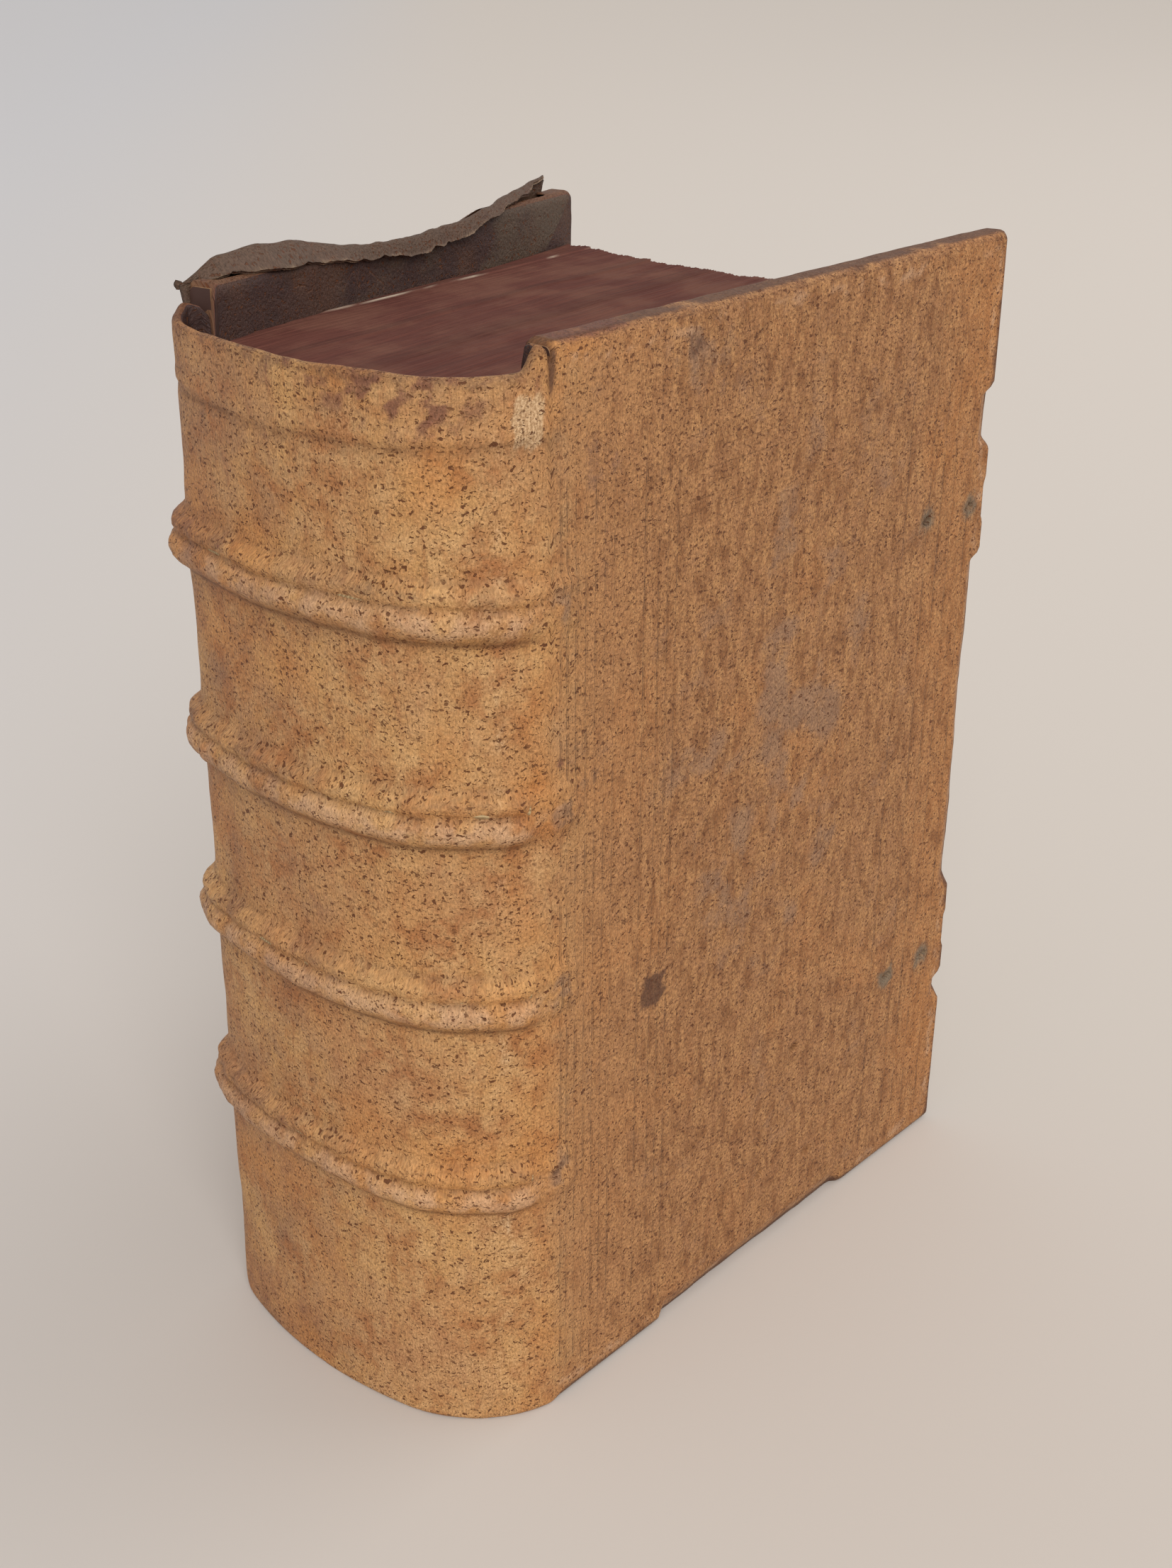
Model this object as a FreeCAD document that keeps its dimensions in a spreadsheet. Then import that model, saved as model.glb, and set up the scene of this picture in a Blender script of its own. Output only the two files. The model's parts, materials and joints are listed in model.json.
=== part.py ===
import FreeCAD, Part

import math
import os

import Sketcher

# An old blind-tooled leather book on bevelled wooden boards, standing on its tail.
# Millimetres. Each cover is drawn in its own frame: the hinge line is at the origin,
# X runs along the board to the fore-edge, and the outer face is the plane Y = 0.

Vector = FreeCAD.Vector
UP = Vector(0, 0, 1)

SIZES = {
    # boards and covers
    "board_height": 210.0,
    "front_width": 134.5,
    "back_width": 121.0,
    "leather": 1.0,
    "turn_in_leather": 0.9,
    "wood": 4.6,
    "turn_in": 16.0,
    "pastedown": 0.4,
    "joint_gap": 0.4,
    "spine_joint_gap": 0.4,
    "text_joint_gap": 0.6,
    "fore_edge_round": 1.4,
    "head_edge_round": 2.2,
    # place of the back joint and the angle at which the back cover stands out
    "back_joint_x": -9.0,
    "back_joint_y": 79.0,
    "splay": 11.0,
    # rounded spine
    "spine_crown_x": -22.5,
    "spine_crown_y": 42.0,
    "spine_crown_radius": 95.0,
    "front_shoulder_radius": 28.0,
    "back_shoulder_radius": 16.0,
    "spine_rim_drop": 4.5,
    # text block
    "head_square": 10.0,
    "text_tail": 0.8,
    "text_front_length": 117.0,
    "text_back_length": 117.5,
    "fore_edge_hollow": 9.0,
    "running_gap": 0.3,
    # raised bands on double cords
    "band_a": 55.0,
    "band_b": 94.0,
    "band_c_drop": 80.0,
    "band_d_drop": 43.0,
    "cord_radius": 1.5,
    "cord_pitch": 4.6,
    "cord_end": 5.0,
    "cord_clearance": 0.1,
    # laced-in ends of the cords in the boards
    "lacing_start": 1.6,
    "lacing_length": 13.0,
    "lacing_rise": 0.9,
    "lacing_sink": 0.4,
    "lacing_bend": 2.2,
    "mound_length": 7.8,
    # bevels of the board edges
    "bevel_width": 5.3,
    "bevel_depth": 2.6,
    "bevel_stop": 4.0,
    "corner_land_tail": 32.0,
    "corner_land_head": 29.0,
    "tail_land_joint": 31.0,
    "tail_land_fore": 35.0,
    # lost clasps: recesses in the fore-edge and pin holes
    "clasp_low": 52.5,
    "clasp_high_drop": 55.1,
    "clasp_land": 19.0,
    "recess_width": 7.0,
    "recess_depth": 1.8,
    "recess_slope": 2.8,
    "pin_radius": 0.7,
    "pin_depth": 3.6,
    "pin_edge_a": 6.6,
    "pin_edge_b": 22.5,
    "pin_drop": 1.6,
    # wormholes in the front cover
    "worm_radius": 0.8,
    "worm_depth": 4.0,
    # torn leather at the head of the back cover
    "flap_start": 1.0,
    "flap_length": 112.0,
    "flap_leather": 1.1,
    # worn head edge of the back board, under the flap
    "worn_outer_drop": 3.8,
    "worn_inner_drop": 0.6,
    "worn_run_out": 0.3,
}

# Heights of the two lost clasps.
CLASPS = ["clasp_low", "(board_height - clasp_high_drop)"]

# Wormholes: distance from the joint and height above the tail.
WORMHOLES = [(75.0, 47.0), (82.5, 17.6), (64.7, 20.0)]

# The torn flap in sections along the head edge. Each has its share of the flap's
# length, how far below the head it starts, then the turn and the tip of the leather
# as (inward, above the board).
FLAP = [
    (0.00, 2.0, (-0.6, -0.4), (-0.8, -0.6)),
    (0.05, 2.0, (0.9, 3.2), (5.2, 0.8)),
    (0.14, 2.0, (1.9, 4.4), (6.9, 0.0)),
    (0.24, 2.4, (2.7, 3.4), (7.2, -1.0)),
    (0.34, 4.8, (4.4, 1.3), (7.4, -1.8)),
    (0.44, 5.4, (6.6, 0.5), (7.9, -2.9)),
    (0.55, 5.4, (6.9, 0.5), (8.3, -4.0)),
    (0.70, 5.2, (6.4, 0.8), (8.0, -2.6)),
    (0.78, 4.2, (5.4, 1.4), (7.4, -0.8)),
    (0.86, 2.8, (3.8, 2.0), (6.6, 0.8)),
    (0.94, 2.0, (2.0, 2.4), (4.6, 1.9)),
    (1.00, 2.0, (0.9, 2.4), (1.7, 2.6)),
]

# The worn head edge: share of the back board's width, and share of the full wear.
WORN_HEAD = [(0.22, 0.0), (0.32, 1.0), (0.66, 1.0), (0.78, 0.0)]

# How far a cutting tool reaches past what it cuts.
OVERRUN = 1.0

# Inward lean of the ridges that the laced-in cords raise, per millimetre of length.
MOUND_LEAN = 0.12

# Two faces this close lie in one plane.
TOUCHING = 0.001

doc = FreeCAD.newDocument("book")
sheet = doc.addObject("Spreadsheet::Sheet", "sizes")
for row, (word, number) in enumerate(SIZES.items(), start=1):
    sheet.set("A%d" % row, word)
    sheet.set("B%d" % row, str(number))
    sheet.setAlias("B%d" % row, word)
doc.recompute()
finished = []


def size(word):
    return float(sheet.get(word))


def bind(thing, **formulas):
    """Tie properties to formulas in the sheet's words."""
    for name, formula in formulas.items():
        path = name.replace("__", ".")
        words = formula
        for word in sorted(SIZES, key=len, reverse=True):
            words = replace_word(words, word)
        thing.setExpression(path, words)


def replace_word(formula, word):
    """Write sizes.word for each whole word that stands alone in a formula."""
    letters = "abcdefghijklmnopqrstuvwxyz_."
    out = ""
    at = 0
    while at < len(formula):
        end = at + len(word)
        before = formula[at - 1] if at else " "
        after = formula[end] if end < len(formula) else " "
        if formula[at:end] == word and before not in letters and after not in letters:
            out += "sizes." + word
            at = end
        else:
            out += formula[at]
            at += 1
    return out


def box(name, low, high):
    """A block between two corners, given as formulas."""
    block = doc.addObject("Part::Box", name)
    bind(block, Length="(%s) - (%s)" % (high[0], low[0]), Width="(%s) - (%s)" % (high[1], low[1]),
         Height="(%s) - (%s)" % (high[2], low[2]), Placement__Base__x=low[0],
         Placement__Base__y=low[1], Placement__Base__z=low[2])
    return block


def rod(name, radius, length, base, axis):
    """A cylinder from a base point, given as formulas, along a fixed axis."""
    bar = doc.addObject("Part::Cylinder", name)
    bar.Placement.Rotation = FreeCAD.Rotation(UP, axis)
    bind(bar, Radius=radius, Height=length, Placement__Base__x=base[0], Placement__Base__y=base[1],
         Placement__Base__z=base[2])
    return bar


def joined(name, things):
    whole = doc.addObject("Part::MultiFuse", name)
    whole.Shapes = things
    return whole


def cut(name, base, tool):
    result = doc.addObject("Part::Cut", name)
    result.Base = base
    result.Tool = tool
    return result


def plain(name, shape):
    thing = doc.addObject("Part::Feature", name)
    thing.Shape = shape
    return thing


def origin_offset():
    """The part's origin: under the middle of the box round the whole book."""
    turn = math.radians(size("splay"))
    back_fore_y = size("back_joint_y") + size("back_width") * math.sin(turn)
    crown = size("spine_crown_x") - size("cord_radius") * 2
    return Vector(-(crown + size("front_width")) / 2, -back_fore_y / 2, 0)


ORIGIN = origin_offset()


def finish(name, thing, place=None):
    """Give a finished sub-part its name and its place in the book."""
    thing.Label = name
    thing.Placement = FreeCAD.Placement(ORIGIN, FreeCAD.Rotation()).multiply(
        place or FreeCAD.Placement())
    finished.append((name, thing))
    return thing


# The spine's outline

def tangent_shoulder(joint, radius, side):
    """Centre of the shoulder arc from a joint to the crown arc, and where they meet."""
    reach = size("spine_crown_radius")
    crown = Vector(size("spine_crown_x") + reach, size("spine_crown_y"), 0)
    away = joint - crown
    span = away.Length
    rest = reach - radius
    lean = math.acos((span * span + rest * rest - radius * radius) / (2 * span * rest))
    angle = math.atan2(away.y, away.x) - side * lean
    direction = Vector(math.cos(angle), math.sin(angle), 0)
    return crown + direction * rest, crown + direction * reach


def spine_path(offset, front_trim=0.0, back_trim=0.0, height=0.0):
    """The spine's outline, moved outwards by offset: shoulder, crown, shoulder.

    The trims leave out that length of the arcs at the two joints.
    """
    reach = size("spine_crown_radius")
    crown = Vector(size("spine_crown_x") + reach, size("spine_crown_y"), 0)
    joints = [Vector(0, 0, 0), Vector(size("back_joint_x"), size("back_joint_y"), 0)]
    radii = [size("front_shoulder_radius"), size("back_shoulder_radius")]
    trims = [front_trim, back_trim]
    arcs = []
    meets = []
    for joint, radius, trim, side in zip(joints, radii, trims, (1, -1)):
        centre, meet = tangent_shoulder(joint, radius, side)
        start = math.atan2(joint.y - centre.y, joint.x - centre.x) % (2 * math.pi)
        end = math.atan2(meet.y - centre.y, meet.x - centre.x) % (2 * math.pi)
        start -= side * trim / radius
        points = []
        for angle in (start, (start + end) / 2, end):
            points.append(centre + Vector(math.cos(angle), math.sin(angle), 0) * (radius + offset))
        arcs.append(points)
        meets.append(points[2])
    crown_top = crown - Vector(reach + offset, 0, 0)
    lift = Vector(0, 0, height)
    front, back = arcs
    runs = [front, [meets[0], crown_top, meets[1]], [back[2], back[1], back[0]]]
    edges = []
    for run in runs:
        edges.append(Part.Arc(*[point + lift for point in run]).toShape())
    return edges


def ends(edges):
    return edges[0].firstVertex(True).Point, edges[-1].lastVertex(True).Point


def inward(side):
    """Direction from a cover's outer face towards the pages."""
    return 1 if side == "front" else -1


def cover_place(side):
    if side == "front":
        return FreeCAD.Placement()
    return FreeCAD.Placement(Vector(size("back_joint_x"), size("back_joint_y"), 0),
                             FreeCAD.Rotation(UP, size("splay")))


# Text block

def text_block():
    thick = size("leather") + size("wood") + size("turn_in_leather") + size("running_gap")
    spine = spine_path(-size("leather"), size("text_joint_gap"), size("text_joint_gap"))
    front_joint, back_joint = ends(spine)
    turn = cover_place("back")
    front_root = Vector(front_joint.x, thick, 0)
    front_fore = Vector(size("text_front_length"), thick, 0)
    back_root = turn.multVec(Vector(0, -thick, 0))
    back_fore = turn.multVec(Vector(size("text_back_length"), -thick, 0))
    middle = (front_fore + back_fore) * 0.5 - Vector(size("fore_edge_hollow"), 0, 0)
    edges = list(spine)
    edges.append(Part.LineSegment(back_joint, back_root).toShape())
    edges.append(Part.LineSegment(back_root, back_fore).toShape())
    edges.append(Part.Arc(back_fore, middle, front_fore).toShape())
    edges.append(Part.LineSegment(front_fore, front_root).toShape())
    edges.append(Part.LineSegment(front_root, front_joint).toShape())
    outline = plain("text_outline", Part.Face(Part.Wire(Part.__sortEdges__(edges))))
    block = doc.addObject("Part::Extrusion", "text_block")
    block.Base = outline
    block.DirMode = "Custom"
    block.Dir = UP
    bind(block, LengthFwd="board_height - head_square - text_tail")
    block.Placement.Base = Vector(0, 0, size("text_tail"))
    doc.recompute()
    finish("text_block", block, FreeCAD.Placement(Vector(0, 0, size("text_tail")),
                                                  FreeCAD.Rotation()))


# Raised bands

def bands():
    """Each band's number, its formula, and its height; two are set from the head."""
    rows = [("1", "band_a", size("band_a")), ("2", "band_b", size("band_b"))]
    for number, word in (("3", "band_c_drop"), ("4", "band_d_drop")):
        rows.append((number, "(board_height - %s)" % word, size("board_height") - size(word)))
    return rows


def level(height, strand):
    """Height of one of the two cords in a band."""
    return height + (strand - 0.5) * size("cord_pitch")


def swept_cord(name, height, strand, radius, trim):
    """A round cord that follows the spine on the outside of the folded leaves."""
    lift = size("cord_radius") - size("leather")
    edges = spine_path(lift, trim, trim, level(height, strand))
    path = plain(name + "_path", Part.Wire(edges))
    start = edges[0].firstVertex(True).Point
    along = edges[0].tangentAt(edges[0].FirstParameter)
    ring = doc.addObject("Part::Circle", name + "_ring")
    ring.Placement = FreeCAD.Placement(start, FreeCAD.Rotation(UP, along))
    bind(ring, Radius=radius)
    sweep = doc.addObject("Part::Sweep", name)
    sweep.Sections = [ring]
    sweep.Spine = (path, ["Edge1", "Edge2", "Edge3"])
    sweep.Solid = True
    sweep.Frenet = True
    return sweep


def sewing_cords():
    for number, _, height in bands():
        pair = []
        for strand in range(2):
            name = "cord_%s_%d" % (number, strand)
            pair.append(swept_cord(name, height, strand, "cord_radius", size("cord_end")))
        group = doc.addObject("Part::Compound", "sewing_cords_" + number)
        group.Links = pair
        finish("sewing_cords_" + number, group)


def spine_leather():
    gap = size("spine_joint_gap")
    outer = spine_path(0.0, gap, gap)
    inner = spine_path(-size("leather"), gap, gap)
    outer_ends = ends(outer)
    inner_ends = ends(inner)
    edges = list(outer) + list(inner)
    for first, second in zip(outer_ends, inner_ends):
        edges.append(Part.LineSegment(first, second).toShape())
    outline = plain("spine_outline", Part.Face(Part.Wire(Part.__sortEdges__(edges))))
    sheet_of_leather = doc.addObject("Part::Extrusion", "spine_sheet")
    sheet_of_leather.Base = outline
    sheet_of_leather.DirMode = "Custom"
    sheet_of_leather.Dir = UP
    bind(sheet_of_leather, LengthFwd="board_height - spine_rim_drop")
    ridges = [sheet_of_leather]
    hollows = []
    for number, _, height in bands():
        for strand in range(2):
            tag = "%s_%d" % (number, strand)
            ridges.append(swept_cord("ridge_" + tag, height, strand, "cord_radius + leather",
                                     size("cord_end") - size("leather")))
            hollows.append(swept_cord("hollow_" + tag, height, strand,
                                      "cord_radius + cord_clearance",
                                      size("cord_end") - size("running_gap")))
    doc.recompute()
    behind = list(spine_path(-size("leather")))
    first, last = ends(behind)
    deep = Vector(size("text_front_length"), 0, 0)
    behind.append(Part.LineSegment(last, last + deep).toShape())
    behind.append(Part.LineSegment(last + deep, first + deep).toShape())
    behind.append(Part.LineSegment(first + deep, first).toShape())
    face = Part.Face(Part.Wire(Part.__sortEdges__(behind)))
    pages = plain("pages_space", face.extrude(UP * size("board_height")))
    skin = cut("spine_skin", joined("spine_ridges", ridges), joined("spine_hollows",
                                                                   hollows + [pages]))
    finish("spine_leather", skin)


# Covers

def board_form(name, side, width, inset, depth):
    """A cover's block, smaller by inset at its outer face and edges, with two edges rounded."""
    sign = inward(side)
    body = doc.addObject("PartDesign::Body", name)
    sketch = body.newObject("Sketcher::SketchObject", name + "_plan")
    plane = [p for p in body.Origin.OriginFeatures if p.Role == "XY_Plane"][0]
    sketch.AttachmentSupport = [(plane, "")]
    sketch.MapMode = "FlatFace"
    corners = [Vector(1, sign, 0), Vector(9, sign, 0), Vector(9, 2 * sign, 0),
               Vector(1, 2 * sign, 0)]
    for first, second in zip(corners, corners[1:] + corners[:1]):
        sketch.addGeometry(Part.LineSegment(first, second), False)
    for line, way in enumerate(["Horizontal", "Vertical", "Horizontal", "Vertical"]):
        sketch.addConstraint(Sketcher.Constraint("Coincident", line, 2, (line + 1) % 4, 1))
        sketch.addConstraint(Sketcher.Constraint(way, line))
    limits = [("DistanceX", 0, 1, 1, "joint_gap"),
              ("DistanceX", 0, 2, 9, "%s - (%s)" % (width, inset)),
              ("DistanceY", 0, 1, sign, "%d * (%s)" % (sign, inset)),
              ("DistanceY", 2, 1, 2 * sign, "%d * (%s)" % (sign, depth))]
    for kind, line, point, number, formula in limits:
        rule = Sketcher.Constraint(kind, -1, 1, line, point, number)
        index = sketch.addConstraint(rule)
        bind(sketch, **{"Constraints[%d]" % index: formula})
    pad = body.newObject("PartDesign::Pad", name + "_pad")
    pad.Profile = sketch
    bind(pad, Length="board_height - 2 * (%s)" % inset)
    body.Tip = pad
    doc.recompute()
    rounded = pad
    for word in ("head_edge_round", "fore_edge_round"):
        fillet = body.newObject("PartDesign::Fillet", "%s_%s" % (name, word))
        fillet.Base = (rounded, [outer_edge(rounded.Shape, sign, word)])
        bind(fillet, Radius="%s - (%s)" % (word, inset))
        body.Tip = fillet
        doc.recompute()
        rounded = fillet
    bind(body, Placement__Base__z=inset)
    return body


def outer_edge(block, sign, word):
    """Name of the block's longest edge on its outer face, at the head or at the fore-edge."""
    whole = block.BoundBox
    face = whole.YMin if sign > 0 else whole.YMax
    found = []
    for index, edge in enumerate(block.Edges, start=1):
        limits = edge.BoundBox
        gaps = [limits.YMin - face, limits.YMax - face]
        if word == "head_edge_round":
            gaps.append(limits.ZMin - whole.ZMax)
        else:
            gaps.append(limits.XMin - whole.XMax)
        if max(abs(gap) for gap in gaps) < TOUCHING:
            found.append((edge.Length, "Edge%d" % index))
    return max(found)[1]


def bevel_cutter(name, side, width, inset, edge, start, end):
    """A long wedge that planes one bevel and slopes out at both ends."""
    sign = inward(side)
    wide = size("bevel_width")
    deep = size("bevel_depth")
    slant = math.hypot(wide, deep)
    corner_height = wide * deep / slant
    tool = doc.addObject("Part::Wedge", name)
    tool.Xmin = tool.X2min = -slant
    tool.Xmax = tool.X2max = slant
    tool.Ymin = 0
    tool.Ymax = 2 * corner_height
    bind(tool, Zmin="%s + bevel_stop" % start, Zmax="%s - bevel_stop" % end,
         Z2min="%s - bevel_stop" % start, Z2max="%s + bevel_stop" % end)
    if edge == "fore":
        normal = Vector(deep, -sign * wide, 0).normalize()
        along = UP
        middle = Vector(size(width) - wide / 2, sign * deep / 2, 0)
    else:
        normal = Vector(0, -sign * wide, -deep).normalize()
        along = Vector(1, 0, 0)
        middle = Vector(0, sign * deep / 2, wide / 2)
    across = normal.cross(along)
    shift = normal * (-size("leather") if inset else 0.0)
    tool.Placement = FreeCAD.Placement(middle + shift,
                                       FreeCAD.Rotation(across, normal, along, "ZYX"))
    return tool


def bevel_cutters(side, width, inset):
    """The interrupted bevels of a cover's fore-edge and the one at its tail."""
    tag = "%s_%s" % (side, "wood" if inset else "skin")
    low, high = CLASPS
    half = " clasp_land / 2"
    runs = [("corner_land_tail", low + " -" + half),
            (low + " +" + half, high + " -" + half),
            (high + " +" + half, "board_height - corner_land_head")]
    tools = []
    for index, (start, end) in enumerate(runs):
        name = "bevel_%s_%d" % (tag, index)
        tools.append(bevel_cutter(name, side, width, inset, "fore", start, end))
    tools.append(bevel_cutter("bevel_%s_tail" % tag, side, width, inset, "tail",
                              "tail_land_joint", width + " - tail_land_fore"))
    return tools


def clasp_recesses(side, width, inset):
    """Notches with sloping ends where the lost clasps folded round the fore-edge."""
    sign = inward(side)
    tag = "%s_%s" % (side, "wood" if inset else "skin")
    thick = size("leather") + size("wood") + size("turn_in_leather")
    bottom = size(width) - size("recess_depth") - (size("leather") if inset else 0.0)
    tools = []
    for index, height in enumerate(CLASPS):
        tool = doc.addObject("Part::Wedge", "recess_%s_%d" % (tag, index))
        tool.Xmin = tool.X2min = -OVERRUN - (thick if sign > 0 else 0)
        tool.Xmax = tool.X2max = OVERRUN + (thick if sign < 0 else 0)
        tool.Ymin = 0
        bind(tool, Ymax="recess_depth * 2", Zmin=height + " - recess_width / 2",
             Zmax=height + " + recess_width / 2",
             Z2min=height + " - recess_width / 2 - recess_slope * 2",
             Z2max=height + " + recess_width / 2 + recess_slope * 2")
        turn = FreeCAD.Rotation(Vector(0, -1, 0), Vector(1, 0, 0), UP, "ZYX")
        tool.Placement = FreeCAD.Placement(Vector(bottom, 0, 0), turn)
        tools.append(tool)
    return tools


def lacing(name, side, band_height, strand, extra):
    """One cord end: in over the joint edge of the board, then through to the inside."""
    sign = inward(side)
    height = level(band_height, strand)
    start_depth = size("leather") + size("cord_radius") - size("lacing_rise")
    bend_depth = size("leather") + size("cord_radius") + size("lacing_sink")
    bend_radius = size("lacing_bend")
    entry = Vector(size("lacing_start"), sign * start_depth, height)
    corner = Vector(size("lacing_start") + size("lacing_length"), sign * bend_depth, height)
    inner = Vector(corner.x, sign * (size("leather") + size("wood")), height)
    run = (corner - entry).normalize()
    hole = (inner - corner).normalize()
    reach = bend_radius * math.tan(run.getAngle(hole) / 2)
    middle_way = (hole - run).normalize()
    centre = corner + middle_way * (bend_radius / math.cos(run.getAngle(hole) / 2))
    arc = Part.Arc(corner - run * reach, centre - middle_way * bend_radius, corner + hole * reach)
    edges = [Part.LineSegment(entry, corner - run * reach).toShape(), arc.toShape(),
             Part.LineSegment(corner + hole * reach, inner).toShape()]
    path = plain(name + "_path", Part.Wire(edges))
    ring = doc.addObject("Part::Circle", name + "_ring")
    ring.Placement = FreeCAD.Placement(entry, FreeCAD.Rotation(UP, run))
    bind(ring, Radius="cord_radius + " + extra)
    sweep = doc.addObject("Part::Sweep", name)
    sweep.Sections = [ring]
    sweep.Spine = (path, ["Edge1", "Edge2", "Edge3"])
    sweep.Solid = True
    sweep.Frenet = True
    return sweep


def pin_holes(side, width):
    """Holes of the pins that held the lost clasps."""
    sign = inward(side)
    holes = []
    for index, height in enumerate(CLASPS):
        drop = "0" if index else "pin_drop"
        for tag in ("pin_edge_a", "pin_edge_b"):
            name = "hole_%s_%d_%s" % (side, index, tag)
            base = ("%s - %s" % (width, tag), "%g" % (-sign * OVERRUN),
                    "%s - %s" % (height, drop))
            holes.append(rod(name, "pin_radius", "pin_depth + %g" % OVERRUN, base,
                             Vector(0, sign, 0)))
    return holes


def wormholes():
    holes = []
    for index, (across, up) in enumerate(WORMHOLES):
        base = ("%g" % across, "%g" % -OVERRUN, "%g" % up)
        holes.append(rod("worm_%d" % index, "worm_radius", "worm_depth + %g" % OVERRUN, base,
                         Vector(0, 1, 0)))
    return holes


def worn_head(side, inset):
    """The cutter that slopes the head edge of the board where it is worn away."""
    sign = inward(side)
    thick = size("leather") + size("wood") + size("turn_in_leather")
    rise = (size("worn_outer_drop") - size("worn_inner_drop")) / thick
    top = size("board_height") - (size("leather") if inset else 0.0)
    run_out = size("worn_run_out")
    sections = []
    for along, share in WORN_HEAD:
        ring = []
        for depth in (-OVERRUN, thick + OVERRUN):
            drop = share * (size("worn_outer_drop") - rise * depth + run_out)
            ring.append(Vector(0, depth, top + run_out - drop))
        above = top + run_out + OVERRUN
        ring += [Vector(0, thick + OVERRUN, above), Vector(0, -OVERRUN, above)]
        across = along * size(side + "_width")
        points = [Vector(across, sign * p.y, p.z) for p in ring]
        sections.append(Part.makePolygon(points + points[:1]))
    name = "worn_head_%s_%s" % (side, "wood" if inset else "skin")
    return plain(name, Part.makeLoft(sections, True, True))


def torn_flap(side):
    """The leather that has split from the back board's head edge and curled."""
    sign = inward(side)
    start = size("flap_start")
    half = size("flap_leather") / 2
    top = size("board_height")
    sections = []
    for share, root_drop, turn, tip in FLAP:
        spine = [Vector(0, half, top - root_drop), Vector(0, turn[0] + half, top + turn[1]),
                 Vector(0, tip[0] + half, top + tip[1])]
        normals = []
        for index in range(3):
            before = spine[max(index - 1, 0)]
            after = spine[min(index + 1, 2)]
            way = (after - before).normalize()
            normals.append(Vector(0, -way.z, way.y))
        ring = [p + n * half for p, n in zip(spine, normals)]
        ring += [p - n * half for p, n in reversed(list(zip(spine, normals)))]
        across = start + share * size("flap_length")
        points = [Vector(across, sign * p.y, p.z) for p in ring]
        sections.append(Part.makePolygon(points + points[:1]))
    return plain("torn_flap_" + side, Part.makeLoft(sections, True, True))


def cover(side):
    sign = inward(side)
    width = side + "_width"
    place = cover_place(side)
    skin_form = board_form(side + "_form", side, width, "0",
                           "leather + wood + turn_in_leather")
    wood_form = board_form(side + "_wood_form", side, width, "leather", "leather + wood")
    skin_tools = bevel_cutters(side, width, False) + clasp_recesses(side, width, False)
    wood_tools = bevel_cutters(side, width, True) + clasp_recesses(side, width, True)
    channels = []
    mounds = []
    laces = {}
    for number, formula, height in bands():
        pair = []
        for strand in range(2):
            tag = "%s_%s_%d" % (side, number, strand)
            strand_formula = "%s + %s * cord_pitch" % (formula, strand - 0.5)
            pair.append(lacing("lace_" + tag, side, height, strand, "0"))
            channels.append(lacing("channel_" + tag, side, height, strand, "cord_clearance"))
            mound = rod("mound_" + tag, "cord_radius + leather", "mound_length",
                        ("lacing_start", "%d * (leather + cord_radius - lacing_rise)" % sign,
                         strand_formula), Vector(1, sign * MOUND_LEAN, 0).normalize())
            mounds.append(mound)
        laces[number] = pair
    if side == "back":
        skin_tools.append(worn_head(side, False))
        wood_tools.append(worn_head(side, True))
    doc.recompute()
    holes = pin_holes(side, width)
    if side == "front":
        holes += wormholes()
    core = cut(side + "_core", wood_form, joined(side + "_wood_tools", wood_tools))
    board = cut(side + "_board_cut", core, joined(side + "_board_tools", channels + holes))
    low_depth = "leather + wood"
    high_depth = "leather + wood + turn_in_leather"
    if sign > 0:
        depths = (low_depth, "%s + %g" % (high_depth, OVERRUN))
        sheet_depths = (low_depth, low_depth + " + pastedown")
    else:
        depths = ("-(%s) - %g" % (high_depth, OVERRUN), "-(%s)" % low_depth)
        sheet_depths = ("-(%s) - pastedown" % low_depth, "-(%s)" % low_depth)
    window = box(side + "_window", ("%g" % -OVERRUN, depths[0], "turn_in"),
                 (width + " - turn_in", depths[1], "board_height - turn_in"))
    trimmed = cut(side + "_trimmed", skin_form, joined(side + "_skin_tools", skin_tools))
    outer = [trimmed] + mounds
    if side == "back":
        outer.append(torn_flap(side))
    whole = joined(side + "_skin_whole", outer)
    skin = cut(side + "_skin", whole, joined(side + "_skin_inside",
                                             [core, window] + channels + holes))
    finish(side + "_board", board, place)
    finish(side + "_cover_leather", skin, place)
    paper = box(side + "_pastedown_sheet", ("joint_gap", sheet_depths[0], "turn_in"),
                (width + " - turn_in", sheet_depths[1], "board_height - turn_in"))
    pastedown = doc.addObject("Part::Compound", side + "_pastedown")
    pastedown.Links = [paper]
    finish(side + "_pastedown", pastedown, place)
    for number, pair in laces.items():
        group = doc.addObject("Part::Compound", "%s_lacing_%s" % (side, number))
        group.Links = pair
        finish("%s_lacing_%s" % (side, number), group, place)


text_block()
sewing_cords()
spine_leather()
for side in ("front", "back"):
    cover(side)
doc.recompute()

for thing in doc.Objects:
    if "Invalid" in thing.State or "Error" in thing.State:
        raise RuntimeError("%s failed: %s" % (thing.Label, thing.State))
os.makedirs("parts", exist_ok=True)
for name, thing in finished:
    shape = thing.Shape
    if shape.isNull() or not shape.isValid():
        raise RuntimeError(name + " has no valid shape")
    shape.exportStep("parts/%s.step" % name)
    print(name, len(shape.Solids), round(shape.Volume / 1000, 2))
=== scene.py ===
"""An old blind-tooled pigskin book on bevelled wooden boards, standing on its tail."""

import json
import math
from functools import reduce

import bpy
import numpy as np
from mathutils import Matrix, Vector


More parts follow.
